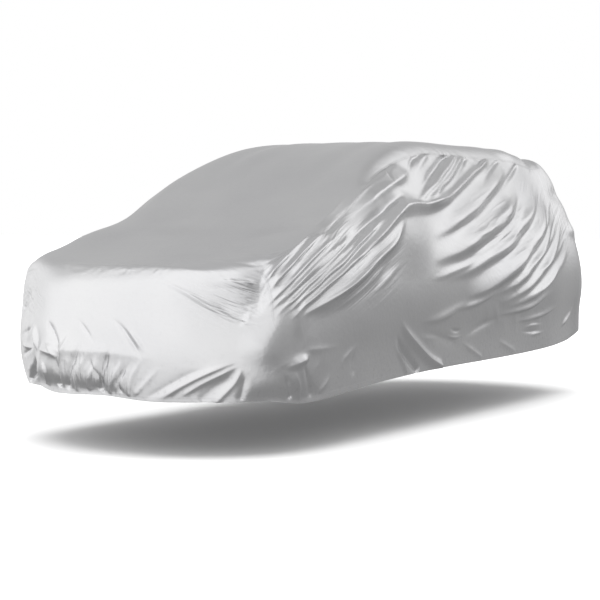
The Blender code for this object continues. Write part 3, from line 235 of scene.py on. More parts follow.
TAIL_FOLDS = [
    Fold("tail_left", 0.030, 0.090, 0.120, 1.5, 0.30, 0.30, ((0.40, 2.30, 1.40), (0.30, 2.38, 1.10), (0.12, 2.42, 0.80), (-0.05, 2.42, 0.50))),
    Fold("tail_right", -0.030, 0.090, 0.100, 1.5, 0.30, 0.10, ((-0.42, 2.30, 1.35), (-0.40, 2.37, 1.00), (-0.30, 2.40, 0.70), (-0.28, 2.38, 0.47))),
    Fold("tail_mid", 0.024, 0.080, 0.100, 1.5, 0.35, 0.40, ((0.05, 2.36, 1.25), (-0.08, 2.42, 0.95), (-0.14, 2.43, 0.70))),
    Fold("tail_hem_left", -0.024, 0.060, 0.080, 1.4, 0.40, 0.06, ((0.48, 2.34, 0.75), (0.52, 2.32, 0.60), (0.50, 2.30, 0.47))),
    Fold("tail_fine_1", 0.012, 0.035, 0.045, 1.4, 0.35, 0.35, ((0.55, 2.25, 1.45), (0.46, 2.33, 1.20), (0.36, 2.38, 0.98), (0.22, 2.41, 0.75))),
    Fold("tail_fine_2", 0.010, 0.030, 0.045, 1.4, 0.35, 0.35, ((0.62, 2.22, 1.30), (0.55, 2.29, 1.05), (0.46, 2.34, 0.85))),
    Fold("tail_fine_3", -0.010, 0.030, 0.035, 1.4, 0.35, 0.35, ((-0.58, 2.24, 1.40), (-0.52, 2.31, 1.15), (-0.50, 2.33, 0.90), (-0.55, 2.29, 0.66))),
    Fold("tail_fine_4", 0.012, 0.030, 0.035, 1.4, 0.40, 0.08, ((-0.62, 2.24, 0.95), (-0.60, 2.27, 0.70), (-0.64, 2.22, 0.47))),
    Fold("tail_fine_5", 0.012, 0.028, 0.032, 1.4, 0.40, 0.06, ((0.18, 2.41, 0.72), (0.20, 2.41, 0.58), (0.17, 2.38, 0.45))),
    Fold("tail_fine_6", 0.010, 0.025, 0.030, 1.4, 0.40, 0.06, ((0.02, 2.42, 0.66), (0.03, 2.42, 0.56), (0.06, 2.39, 0.45))),
    Fold("tail_fine_7", -0.012, 0.028, 0.032, 1.4, 0.40, 0.06, ((-0.12, 2.42, 0.70), (-0.10, 2.42, 0.57), (-0.14, 2.39, 0.45))),
]

# Broad swells: the roof's shoulders and the strips beside its middle lie full and tight, and the cloth is drawn down
# over the rear corners, in at the tail's waist and out again at its belt.
SHOULDERS = [
    Fold("shoulder_left", 0.026, 0.300, 0.150, 1.8, 0.45, 0.28, ((0.50, 1.34, 1.73), (0.53, 1.52, 1.70), (0.54, 1.67, 1.69), (0.53, 1.80, 1.69), (0.50, 1.94, 1.69))),
    Fold("shoulder_right", 0.026, 0.150, 0.300, 1.8, 0.45, 0.28, ((-0.50, 1.34, 1.73), (-0.53, 1.52, 1.70), (-0.54, 1.67, 1.69), (-0.53, 1.80, 1.69), (-0.50, 1.94, 1.69))),
    Fold("shoulder_rear_left", -0.016, 0.150, 0.150, 1.8, 0.40, 0.40, ((0.48, 1.84, 1.71), (0.51, 1.94, 1.70), (0.53, 2.03, 1.69), (0.55, 2.10, 1.66))),
    Fold("shoulder_rear_right", -0.016, 0.150, 0.150, 1.8, 0.40, 0.40, ((-0.48, 1.84, 1.71), (-0.51, 1.94, 1.70), (-0.53, 2.03, 1.69), (-0.55, 2.10, 1.66))),
    Fold("roof_fill_left", 0.027, 0.220, 0.200, 1.8, 0.18, 0.08, ((0.27, -0.92, 1.42), (0.27, -0.60, 1.58), (0.27, -0.15, 1.71), (0.27, 0.40, 1.74), (0.27, 0.95, 1.74), (0.27, 1.50, 1.73), (0.28, 1.90, 1.69), (0.28, 2.12, 1.64))),
    Fold("roof_fill_right", 0.027, 0.200, 0.220, 1.8, 0.18, 0.08, ((-0.27, -0.92, 1.42), (-0.27, -0.60, 1.58), (-0.27, -0.15, 1.71), (-0.27, 0.40, 1.74), (-0.27, 0.95, 1.74), (-0.27, 1.50, 1.73), (-0.28, 1.90, 1.69), (-0.28, 2.12, 1.64))),
    Fold("rear_waist_left", -0.020, 0.110, 0.110, 1.7, 0.45, 0.45, ((0.72, 1.88, 1.43), (0.71, 2.04, 1.43), (0.66, 2.11, 1.43), (0.52, 2.17, 1.43))),
    Fold("rear_waist_right", -0.020, 0.110, 0.110, 1.7, 0.45, 0.45, ((-0.72, 1.88, 1.43), (-0.71, 2.04, 1.43), (-0.66, 2.11, 1.43), (-0.52, 2.17, 1.43))),
    Fold("rear_belt_left", 0.016, 0.090, 0.080, 1.7, 0.45, 0.45, ((0.85, 1.90, 1.17), (0.83, 2.05, 1.17), (0.76, 2.13, 1.17), (0.60, 2.20, 1.17))),
    Fold("rear_belt_right", 0.016, 0.080, 0.090, 1.7, 0.45, 0.45, ((-0.85, 1.90, 1.17), (-0.83, 2.05, 1.17), (-0.76, 2.13, 1.17), (-0.60, 2.20, 1.17))),
]

# Zones of fine creases: where they lie, how far they reach, how high they are and how many of them there are per metre.
Crumple = namedtuple("Crumple", "name x y z reach_x reach_y reach_z height scale seed")
CRUMPLES = [
    Crumple("front_right_corner", -0.56, -2.26, 0.55, 0.34, 0.30, 0.26, 0.010, 9.0, 11),
    Crumple("front_low", -0.05, -2.38, 0.48, 0.45, 0.25, 0.22, 0.004, 8.0, 12),
    Crumple("scuttle_left", 0.50, -1.72, 1.02, 0.30, 0.25, 0.18, 0.004, 12.0, 13),
    Crumple("arch_left", 0.95, -1.80, 0.48, 0.20, 0.34, 0.24, 0.005, 7.0, 14),
    Crumple("arch_right", -0.95, -1.80, 0.48, 0.20, 0.40, 0.28, 0.007, 6.0, 15),
    Crumple("flank_rear_left", 0.97, 0.90, 0.62, 0.25, 0.95, 0.24, 0.0035, 5.0, 16),
    Crumple("flank_rear_right", -0.97, 0.80, 0.60, 0.25, 0.80, 0.25, 0.005, 5.0, 17),
    Crumple("sweeps_left", 0.92, 0.90, 1.15, 0.35, 0.80, 0.34, 0.0022, 10.0, 21),
    Crumple("sweeps_right", -0.92, 0.90, 1.15, 0.35, 0.80, 0.34, 0.0022, 9.0, 22),
    Crumple("seam_left", 0.62, 0.40, 1.68, 0.20, 1.10, 0.16, 0.003, 9.0, 18),
    Crumple("seam_right", -0.62, 0.40, 1.68, 0.20, 1.10, 0.16, 0.003, 9.0, 19),
    Crumple("tail_low", 0.0, 2.40, 0.60, 0.70, 0.25, 0.25, 0.004, 7.0, 20),
    Crumple("bonnet_edge", 0.05, -2.22, 0.99, 0.85, 0.12, 0.05, 0.0035, 15.0, 23),
    Crumple("flank_middle_left", 0.96, 0.95, 0.80, 0.25, 0.90, 0.24, 0.0065, 4.5, 24),
    Crumple("flank_middle_right", -0.96, 0.95, 0.80, 0.25, 0.90, 0.24, 0.0060, 4.5, 25),
]


def strip_row(mid, edge, crown):
    """Five points across the top strip, from the right edge to the left."""
    quarter = (edge[0] * 0.55,) + tuple(e + (m - e) * crown for m, e in zip(mid[1:], edge[1:]))
    return [(-edge[0], edge[1], edge[2]), (-quarter[0], quarter[1], quarter[2]), mid, quarter, edge]


def flank_column(s):
    """Four points down the left flank at a station, from the seam to the hem."""
    return [(s.edge_x, s.edge_y, s.edge_z), (s.wide_x, s.wide_y, s.wide_z), (s.low_x, s.low_y, s.low_z), (s.hem_x, s.hem_y, s.hem_z)]


def station_form():
    """The stations' points, the quads between them and the panel that each quad belongs to."""
    rows = []
    for face, edge in zip([f for f in FACES if f.end == "front"], flank_column(STATIONS[0])[:0:-1]):
        rows.append(strip_row((0.0, face.mid_y, face.mid_z), edge, FACE_CROWN))
    for s in STATIONS:
        rows.append(strip_row((0.0, s.mid_y, s.mid_z), flank_column(s)[0], s.crown))
    for face, edge in zip([f for f in FACES if f.end == "rear"], flank_column(STATIONS[-1])[1:]):
        rows.append(strip_row((0.0, face.mid_y, face.mid_z), edge, FACE_CROWN))
    points, where, quads, panels = [], {}, [], []

    def index(point):
        key = tuple(round(c, 6) for c in point)
        if key not in where:
            where[key] = len(points)
            points.append(point)
        return where[key]

    for near, far in zip(rows, rows[1:]):
        for c in range(4):
            quads.append([index(p) for p in (near[c], near[c + 1], far[c + 1], far[c])])
            panels.append("top_panel")
    for side, name in ((1, "side_panel_left"), (-1, "side_panel_right")):
        columns = [[(side * x, y, z) for x, y, z in flank_column(s)] for s in STATIONS]
        for near, far in zip(columns, columns[1:]):
            for r in range(3):
                ring = [near[r], near[r + 1], far[r + 1], far[r]]
                quads.append([index(p) for p in ring[::side]])
                panels.append(name)
    return points, quads, panels


def rounded(points, quads, panels, levels):
    """The form rounded by a Subdivision Surface modifier: its corners, its quads and each quad's panel."""
    mesh = bpy.data.meshes.new("form")
    mesh.from_pydata(points, [], quads)
    for _ in PANELS:
        mesh.materials.append(None)
    mesh.polygons.foreach_set("material_index", [PANELS.index(p) for p in panels])
    form = bpy.data.objects.new("form", mesh)
    bpy.context.scene.collection.objects.link(form)
    rounding = form.modifiers.new("rounding", "SUBSURF")
    rounding.levels = rounding.render_levels = levels
    rounding.boundary_smooth = "PRESERVE_CORNERS"
    bpy.context.view_layer.update()
    shape = form.evaluated_get(bpy.context.evaluated_depsgraph_get()).to_mesh()
    corners = np.array([v.co for v in shape.vertices])
    faces = np.array([list(f.vertices) for f in shape.polygons])
    panel_of = np.array([f.material_index for f in shape.polygons])
    bpy.data.objects.remove(form)
    bpy.data.meshes.remove(mesh)
    return corners, faces, panel_of


def cloth_form(levels):
    """The rounded form. Its control points are moved out until it passes through the stations' own points."""
    points, quads, panels = station_form()
    wanted = np.array(points)
    control = wanted.copy()
    for _ in range(FITTING_ROUNDS):
        reached = rounded(control.tolist(), quads, panels, 1)[0][: len(points)]
        control += wanted - reached
    return rounded(control.tolist(), quads, panels, levels)


def vertex_normals(corners, faces):
    """Outward normals of the whole cover at its corners."""
    across = np.cross(corners[faces[:, 2]] - corners[faces[:, 0]], corners[faces[:, 3]] - corners[faces[:, 1]])
    normals = np.zeros_like(corners)
    for k in range(4):
        np.add.at(normals, faces[:, k], across)
    return normals / np.linalg.norm(normals, axis=1)[:, None]


def smooth_path(path, steps=8):
    """The path's points joined by an even curve through them."""
    p = np.array(path)
    p = np.vstack([2 * p[0] - p[1], p, 2 * p[-1] - p[-2]])
    curve = []
    for i in range(1, len(p) - 2):
        for t in np.arange(steps) / steps:
            a, b, c, d = p[i - 1 : i + 3]
            curve.append(0.5 * (2 * b + (c - a) * t + (2 * a - 5 * b + 4 * c - d) * t**2 + (3 * b - a - 3 * c + d) * t**3))
    return np.array(curve + [p[-2]])


def rise(share):
    """0 at 0 and 1 at 1, with no corner at either."""
    share = np.clip(share, 0, 1)
    return share * share * (3 - 2 * share)


def fold_height(corners, normals, fold):
    """How far a fold moves each corner of the cloth along its normal."""
    curve = smooth_path(fold.path, 4)
    reach = 1.4 * max(fold.left, fold.right)
    height = np.zeros(len(corners))
    near = np.where(np.all((corners > curve.min(0) - reach) & (corners < curve.max(0) + reach), axis=1))[0]
    if not len(near):
        return height
    spans = curve[1:] - curve[:-1]
    lengths = np.linalg.norm(spans, axis=1)
    begins = np.concatenate([[0], np.cumsum(lengths)[:-1]])
    offset = corners[near][:, None] - curve[None, :-1]
    share = np.clip((offset * spans).sum(2) / lengths**2, 0, 1)
    away = offset - share[..., None] * spans
    distance = np.linalg.norm(away, axis=2)
    best = distance.argmin(1)
    pick = np.arange(len(near))
    along = (begins[best] + share[pick, best] * lengths[best]) / lengths.sum()
    beside = (np.cross(normals[near], spans[best]) * away[pick, best]).sum(1)
    swell = rise(along / max(fold.rise_share, 0.01)) * rise((1 - along) / max(fold.fade_share, 0.01))
    wide = np.where(beside > 0, fold.left, fold.right) * (0.7 + 0.3 * swell)
    section = np.exp(-((distance[pick, best] / (0.58 * wide)) ** (fold.softness + 0.2)))
    height[near] = fold.height * section * swell
    return height


def mirrored(fold):
    path = tuple((-x, y + RIGHT_SHIFT, z) for x, y, z in fold.path)
    return fold._replace(name=fold.name + "_right", height=fold.height * RIGHT_SHARE, left=fold.right, right=fold.left, path=path)


def laid_on(fold, corners, normals, tree):
    """The fold with its path laid on the cloth."""
    path = []
    for point in fold.path:
        nearest = tree.find(point)[1]
        path.append(tuple(np.array(point) + normals[nearest] * ((corners[nearest] - point) @ normals[nearest])))
    return fold._replace(path=tuple(path))


def gradient_noise(places, scale, seed):
    """Smooth noise from -1 to 1 at the places, with one feature in each 1/scale of a metre."""
    rng = np.random.default_rng(seed)
    table = rng.permutation(256)
    table = np.concatenate([table, table])
    slopes = rng.normal(size=(256, 3))
    slopes /= np.linalg.norm(slopes, axis=1)[:, None]
    p = places * scale
    cell = np.floor(p).astype(int)
    inside = p - cell
    fade = inside**3 * (inside * (inside * 6 - 15) + 10)
    total = np.zeros(len(p))
    for dx in (0, 1):
        for dy in (0, 1):
            for dz in (0, 1):
                c = (cell + (dx, dy, dz)) & 255
                pick = table[table[table[c[:, 0]] + c[:, 1]] + c[:, 2]]
                weight = (fade[:, 0] if dx else 1 - fade[:, 0]) * (fade[:, 1] if dy else 1 - fade[:, 1]) * (fade[:, 2] if dz else 1 - fade[:, 2])
                total += weight * (slopes[pick] * (inside - (dx, dy, dz))).sum(1)
    return total * 1.5


def hung(corners):
    """The cloth as it hangs before its folds: the uneven hem and the tents over the mirrors."""
    corners = corners.copy()
    hem_z = np.interp(corners[:, 1], [s.hem_y for s in STATIONS], [s.hem_z for s in STATIONS])
    fading = 1 - rise((corners[:, 2] - hem_z) / HEM_LIFT_HEIGHT)
    for lift in HEM_LIFTS:
        distance = np.hypot(corners[:, 0] - lift.x, corners[:, 1] - lift.y)
        corners[:, 2] += lift.lift * fading * (1 - rise(distance / lift.reach))
    for tent in TENTS:
        same_side = corners[:, 0] * tent.x > 0
        up = corners[:, 2] - tent.z
        high = np.where(up > 0, up / tent.reach_up, -up / tent.reach_down)
        distance = np.hypot((corners[:, 1] - tent.y) / tent.reach_y, high)
        corners[:, 0] += np.sign(tent.x) * tent.out * same_side * (1 - rise(distance))
    return corners


def laid_folds(corners, normals):
    """Every fold, laid on the cloth."""
    tree = KDTree(len(corners))
    for number, corner in enumerate(corners):
        tree.insert(corner, number)
    tree.balance()
    folds = FOLDS + [mirrored(f) for f in FOLDS if min(p[0] for p in f.path) > 0.55 and f.name not in LEFT_ONLY] + TAIL_FOLDS
    return [laid_on(f, corners, normals, tree) for f in folds]


def roof_calm(corners, seam):
    """1 on the flanks, less at the seam that holds the folds, and 0 a few centimetres above it, where the cloth lies flat."""
    tree = KDTree(len(seam))
    for number, point in enumerate(seam):
        tree.insert(point, number)
    tree.balance()
    calm = np.ones(len(corners))
    for number in np.where((corners[:, 1] > -0.9) & (corners[:, 2] > 1.3))[0]:
        corner = corners[number]
        where, nearest, distance = tree.find(corner)
        if abs(corner[0]) < abs(where[0]):
            calm[number] = 1 - rise((distance + 0.0202) / 0.030) * rise((corner[1] + 0.9) / 0.5)
        else:
            calm[number] = 1 - (1 - rise((distance + 0.0147) / 0.045)) * rise((corner[1] + 0.9) / 0.5)
    return calm


def cloth_height(corners, normals, folds, seam):
    """How far the folds and the fine creases move each corner along its normal."""
    wavy = corners.copy()
    for axis in range(3):
        wavy[:, axis] += 0.009 * gradient_noise(corners, 2.6, 31 + axis) + 0.0015 * gradient_noise(corners, 9.0, 41 + axis)
    height = sum(fold_height(wavy, normals, f) for f in folds) * (1 + 0.16 * gradient_noise(corners, 3.0, 51)) * roof_calm(corners, seam)
    height += sum(fold_height(corners, normals, f) for f in SHOULDERS)
    height += 0.004 * gradient_noise(corners, 1.6, 1) + 0.0012 * gradient_noise(corners * (1, 0.6, 1), 6.0, 2)
    for zone in CRUMPLES:
        near = 1 - rise(np.linalg.norm((corners - (zone.x, zone.y, zone.z)) / (zone.reach_x, zone.reach_y, zone.reach_z), axis=1))
        lean = corners + 0.06 * gradient_noise(corners, zone.scale * 0.5, zone.seed + 1)[:, None]
        creased = 0.55 - np.abs(gradient_noise(lean, zone.scale, zone.seed)) * 1.6
        height += zone.height * near * creased
    return height


def edge_numbers(faces, count):
    """For each side of each quad, a number that both quads beside it share; and the two corners of each such edge."""
    a, b = faces, np.roll(faces, -1, axis=1)
    keys = np.minimum(a, b).astype(np.int64) * count + np.maximum(a, b)
    unique, numbers = np.unique(keys, return_inverse=True)
    return numbers.reshape(faces.shape), np.stack([unique // count, unique % count], axis=1)


def busiest(height, faces, panel_of):
    """The quads that bend the most under the folds, up to each panel's share."""
    edges, ends = edge_numbers(faces, len(height))
    total, uses = np.zeros(len(height)), np.zeros(len(height))
    for near, far in ((0, 1), (1, 0)):
        np.add.at(total, ends[:, near], height[ends[:, far]])
        np.add.at(uses, ends[:, near], 1)
    bend = np.abs(height - total / uses)
    quad_bend = bend[faces].max(1)
    chosen = np.zeros(len(faces), bool)
    for number, share in enumerate(REFINED):
        own = np.where(panel_of == number)[0]
        chosen[own[np.argsort(-quad_bend[own], kind="stable")[:share]]] = True
    return chosen


def refined(corners, faces, panel_of, chosen):
    """The chosen quads cut in four. Their neighbours take the new corners on the shared sides."""
    edges, ends = edge_numbers(faces, len(corners))
    cut = np.unique(edges[chosen])
    middle_of = np.full(len(ends), -1)
    middle_of[cut] = len(corners) + np.arange(len(cut))
    centres = len(corners) + len(cut) + np.arange(int(chosen.sum()))
    points = np.vstack([corners, corners[ends[cut]].mean(1), corners[faces[chosen]].mean(1)])
    quads, panels = [], []
    sides = middle_of[edges[chosen]]
    for k in range(4):
        quads.append(np.stack([faces[chosen][:, k], sides[:, k], centres, sides[:, k - 1]], axis=1))
        panels.append(panel_of[chosen])
    whole = ~chosen & (middle_of[edges] < 0).all(1)
    quads.append(faces[whole])
    panels.append(panel_of[whole])
    polygons = [list(map(int, q)) for q in np.vstack(quads)]
    panels = list(np.concatenate(panels))
    for number in np.where(~chosen & ~whole)[0]:
        ring = []
        for corner, edge in zip(faces[number], edges[number]):
            ring.append(int(corner))
            if middle_of[edge] >= 0:
                ring.append(int(middle_of[edge]))
        polygons.append(ring)
        panels.append(panel_of[number])
    return points, polygons, np.array(panels)


def polygon_normals(corners, polygons):
    """Outward normals at the corners of faces with any number of sides."""
    normals = np.zeros_like(corners)
    sizes = np.array([len(p) for p in polygons])
    for size in np.unique(sizes):
        ring = np.array([p for p in polygons if len(p) == size])
        across = np.zeros((len(ring), 3))
        for k in range(1, size - 1):
            across += np.cross(corners[ring[:, k]] - corners[ring[:, 0]], corners[ring[:, k + 1]] - corners[ring[:, 0]])
        for k in range(size):
            np.add.at(normals, ring[:, k], across)
    return normals / np.linalg.norm(normals, axis=1)[:, None]


def chain(pairs, start):
    """The corners along a line of edges, in order from the start."""
    beside = {}
    for a, b in pairs:
        beside.setdefault(a, []).append(b)
        beside.setdefault(b, []).append(a)
    line, last = [start], None
    while True:
        ways = [n for n in beside[line[-1]] if n != last and (n != start or len(line) > 2)]
        if not ways or ways[0] == start:
            return line
        last = line[-1]
        line.append(ways[0])


def measured_along(corners, line, steps=8):
    """Distance from a line of corners, and how far along it, for every corner."""
    p = corners[line]
    share = np.arange(steps)[:, None, None] / steps
    dense = (p[:-1][None] * (1 - share) + p[1:][None] * share).transpose(1, 0, 2).reshape(-1, 3)
    along = np.concatenate([[0], np.cumsum(np.linalg.norm(np.diff(dense, axis=0), axis=1))])
    tree = KDTree(len(dense))
    for number, point in enumerate(dense):
        tree.insert(point, number)
    tree.balance()
    distance, where = np.full(len(corners), 1.0), np.zeros(len(corners))
    low, high = dense.min(0) - 0.15, dense.max(0) + 0.15
    for number in np.where(np.all((corners > low) & (corners < high), axis=1))[0]:
        found = tree.find(corners[number])
        distance[number], where[number] = found[2], along[found[1]]
    return distance, where


# ---------------------------------------------------------------- the cloth's look
THREAD_PITCH = 0.0022  # metres between the threads of the weave


def link(tree, a, b):
    tree.links.new(a, b)


def worked(tree, operation, first, second=None, third=None):
    """A math node on sockets or numbers."""
    node = tree.nodes.new("ShaderNodeMath")
    node.operation = operation
    for socket, value in zip(node.inputs, (first, second, third)):
        if isinstance(value, (int, float)):
            socket.default_value = value
        elif value is not None:
            link(tree, value, socket)
    return node.outputs[0]


def eased(tree, value, low, high, to_low=0.0, to_high=1.0):
    node = tree.nodes.new("ShaderNodeMapRange")
    node.interpolation_type = "SMOOTHSTEP"
    link(tree, value, node.inputs["Value"])
    for socket, number in (("From Min", low), ("From Max", high), ("To Min", to_low), ("To Max", to_high)):
        node.inputs[socket].default_value = number
    return node.outputs["Result"]


def clouded(tree, vector, scale, detail):
    node = tree.nodes.new("ShaderNodeTexNoise")
    node.inputs["Scale"].default_value = scale
    node.inputs["Detail"].default_value = detail
    link(tree, vector, node.inputs["Vector"])
    return node.outputs["Fac"]


def measured(tree, name):
    node = tree.nodes.new("ShaderNodeAttribute")
    node.attribute_name = name
    return node.outputs["Fac"]


# Fine creases too thin for the mesh: where they lie (in the cover's frame), how far they reach, which way they run (turned
# about x on the flanks, about y on the front), how long and how wide apart they are, and how high they stand.
Streaks = namedtuple("Streaks", "name x y z reach_x reach_y reach_z about_x about_y long apart height")
STREAKS = [
    Streaks("wing", 0.86, -2.28, -0.73, 0.45, 0.80, 0.38, 23.0, 0.0, 0.60, 0.022, 0.009),
    Streaks("doors", 0.92, -0.15, -0.58, 0.45, 0.95, 0.40, 14.0, 0.0, 0.50, 0.040, 0.010),
    Streaks("rear", 0.82, 0.72, -0.48, 0.45, 0.50, 0.40, 26.0, 0.0, 0.45, 0.030, 0.008),
    Streaks("rear_corner", 0.76, 1.05, -0.38, 0.35, 0.28, 0.42, 66.0, 0.0, 0.35, 0.028, 0.007),
    Streaks("pocket", 0.66, -3.10, -0.94, 0.30, 0.30, 0.20, 0.0, 26.0, 0.28, 0.018, 0.011),
    Streaks("nose_low", -0.15, -3.33, -1.34, 0.60, 0.35, 0.22, 0.0, 102.0, 0.22, 0.034, 0.014),
]


def creased(tree, place, streaks):
    """Height of the fine creases in one zone, in metres."""
    side = tree.nodes.new("ShaderNodeVectorMath")  # both flanks are creased alike
    side.operation = "ABSOLUTE"
    link(tree, place, side.inputs[0])
    parts, folded = tree.nodes.new("ShaderNodeSeparateXYZ"), tree.nodes.new("ShaderNodeCombineXYZ")
    link(tree, place, parts.inputs[0])
    first = tree.nodes.new("ShaderNodeSeparateXYZ")
    link(tree, side.outputs[0], first.inputs[0])
    link(tree, first.outputs["X"], folded.inputs["X"])
    link(tree, parts.outputs["Y"], folded.inputs["Y"])
    link(tree, parts.outputs["Z"], folded.inputs["Z"])
    near = tree.nodes.new("ShaderNodeMapping")
    near.vector_type = "TEXTURE"
    near.inputs["Location"].default_value = (streaks.x, streaks.y, streaks.z)
    near.inputs["Scale"].default_value = (streaks.reach_x, streaks.reach_y, streaks.reach_z)
    link(tree, folded.outputs[0], near.inputs["Vector"])
    length = tree.nodes.new("ShaderNodeVectorMath")
    length.operation = "LENGTH"
    link(tree, near.outputs[0], length.inputs[0])
    run = tree.nodes.new("ShaderNodeMapping")
    run.vector_type = "TEXTURE"
    run.inputs["Rotation"].default_value = (math.radians(streaks.about_x), math.radians(streaks.about_y), 0)
    run.inputs["Scale"].default_value = (streaks.long, streaks.long, streaks.apart)
    link(tree, place, run.inputs["Vector"])
    ridge = worked(tree, "ABSOLUTE", worked(tree, "SUBTRACT", clouded(tree, run.outputs[0], 1.0, 1), 0.5))
    return worked(tree, "MULTIPLY", worked(tree, "MULTIPLY", ridge, eased(tree, length.outputs["Value"], 0.35, 1.0, 1.0, 0.0)), -streaks.height)


def stitched(tree, away, along, rows, pitch):
    """1 on the stitches of each row beside a line, 0 between them."""
    dash = worked(tree, "LESS_THAN", worked(tree, "FRACT", worked(tree, "DIVIDE", along, pitch)), 0.62)
    total = None
    for row in rows:
        on = worked(tree, "MULTIPLY", eased(tree, worked(tree, "ABSOLUTE", worked(tree, "SUBTRACT", away, row)), 0.0004, 0.0011, 1.0, 0.0), dash)
        total = on if total is None else worked(tree, "MAXIMUM", total, on)
    return total


def tinted(tree, colour, factor):
    node = tree.nodes.new("ShaderNodeVectorMath")
    node.operation = "SCALE"
    link(tree, colour, node.inputs[0])
    link(tree, factor, node.inputs["Scale"])
    return node.outputs[0]


def cloth_material(name, lapped):
    """Silver coated cloth: faint clouding, a fine weave, small creases, double stitched seams and hem, and worn edges."""
    m = bpy.data.materials.new(name)
    m.use_nodes = True
    nt = m.node_tree
    shader = nt.nodes["Principled BSDF"]
    coords = nt.nodes.new("ShaderNodeTexCoord")
    place = coords.outputs["Object"]
    weave_place = nt.nodes.new("ShaderNodeUVMap")
    weave_place.uv_map = "cloth_metres"
    across = nt.nodes.new("ShaderNodeSeparateXYZ")
    link(nt, weave_place.outputs[0], across.inputs[0])
    hem, hem_run, seam, seam_run = (measured(nt, label) for label in ("hem_away", "hem_along", "seam_away", "seam_along"))

    hem_rows = stitched(nt, hem, hem_run, (0.004, 0.021), 0.0045)
    seam_rows = stitched(nt, seam, seam_run, (0.003, 0.010) if lapped else (0.003,), 0.0045)
    stitches = worked(nt, "MAXIMUM", hem_rows, seam_rows)
    thread = 2 * math.pi / THREAD_PITCH
    weft = worked(nt, "SINE", worked(nt, "MULTIPLY", across.outputs["X"], thread))
    warp = worked(nt, "SINE", worked(nt, "MULTIPLY", across.outputs["Y"], thread))
    weave = worked(nt, "MULTIPLY", weft, warp)

    # colour: a pale silver coat with faint clouding, darker in the needle holes and a little dull along the hem
    ramp = nt.nodes.new("ShaderNodeValToRGB")
    ramp.color_ramp.elements[0].position = 0.3
    ramp.color_ramp.elements[0].color = (0.56, 0.56, 0.57, 1)
    ramp.color_ramp.elements[1].position = 0.7
    ramp.color_ramp.elements[1].color = (0.60, 0.60, 0.605, 1)
    link(nt, clouded(nt, place, 1.7, 3), ramp.inputs["Fac"])
    scuffs = eased(nt, clouded(nt, place, 38.0, 5), 0.52, 0.74)
    edge_wear = worked(nt, "MULTIPLY", scuffs, eased(nt, hem, 0.02, 0.30, 0.10, 0.015))
    dark = worked(nt, "ADD", edge_wear, worked(nt, "MULTIPLY", stitches, 0.22))
    dark = worked(nt, "ADD", dark, eased(nt, seam, 0.0008, 0.0022, 0.08, 0.0))
    dark = worked(nt, "ADD", dark, eased(nt, worked(nt, "ABSOLUTE", worked(nt, "SUBTRACT", hem, 0.025)), 0.0008, 0.0022, 0.06, 0.0))
    link(nt, tinted(nt, ramp.outputs["Color"], worked(nt, "SUBTRACT", 1.0, dark)), shader.inputs["Base Color"])

    # sheen: a soft metallic coat, uneven as if handled, duller where it is scuffed
    smear = worked(nt, "MULTIPLY_ADD", clouded(nt, place, 5.0, 4), 0.10, 0.25)
    link(nt, worked(nt, "ADD", smear, worked(nt, "MULTIPLY", edge_wear, 1.2)), shader.inputs["Roughness"])
    shader.inputs["Metallic"].default_value = 0.85

    # relief in metres: weave, small creases, the seam's lap, the hem's doubled band and the threads
    height = worked(nt, "MULTIPLY", weave, 0.00002)
    height = worked(nt, "ADD", height, worked(nt, "MULTIPLY", clouded(nt, place, 34.0, 3), 0.0011))
    for streaks in STREAKS:
        height = worked(nt, "ADD", height, creased(nt, place, streaks))
    height = worked(nt, "ADD", height, eased(nt, hem, 0.0225, 0.0275, 0.0004, 0.0))
    if lapped:
        height = worked(nt, "ADD", height, eased(nt, seam, 0.011, 0.0155, 0.0004, 0.0))
    height = worked(nt, "ADD", height, worked(nt, "MULTIPLY", stitches, -0.0003))
    bump = nt.nodes.new("ShaderNodeBump")
    bump.inputs["Strength"].default_value = 1.0
    bump.inputs["Distance"].default_value = 1.0
    link(nt, height, bump.inputs["Height"])
    link(nt, bump.outputs["Normal"], shader.inputs["Normal"])
    return m


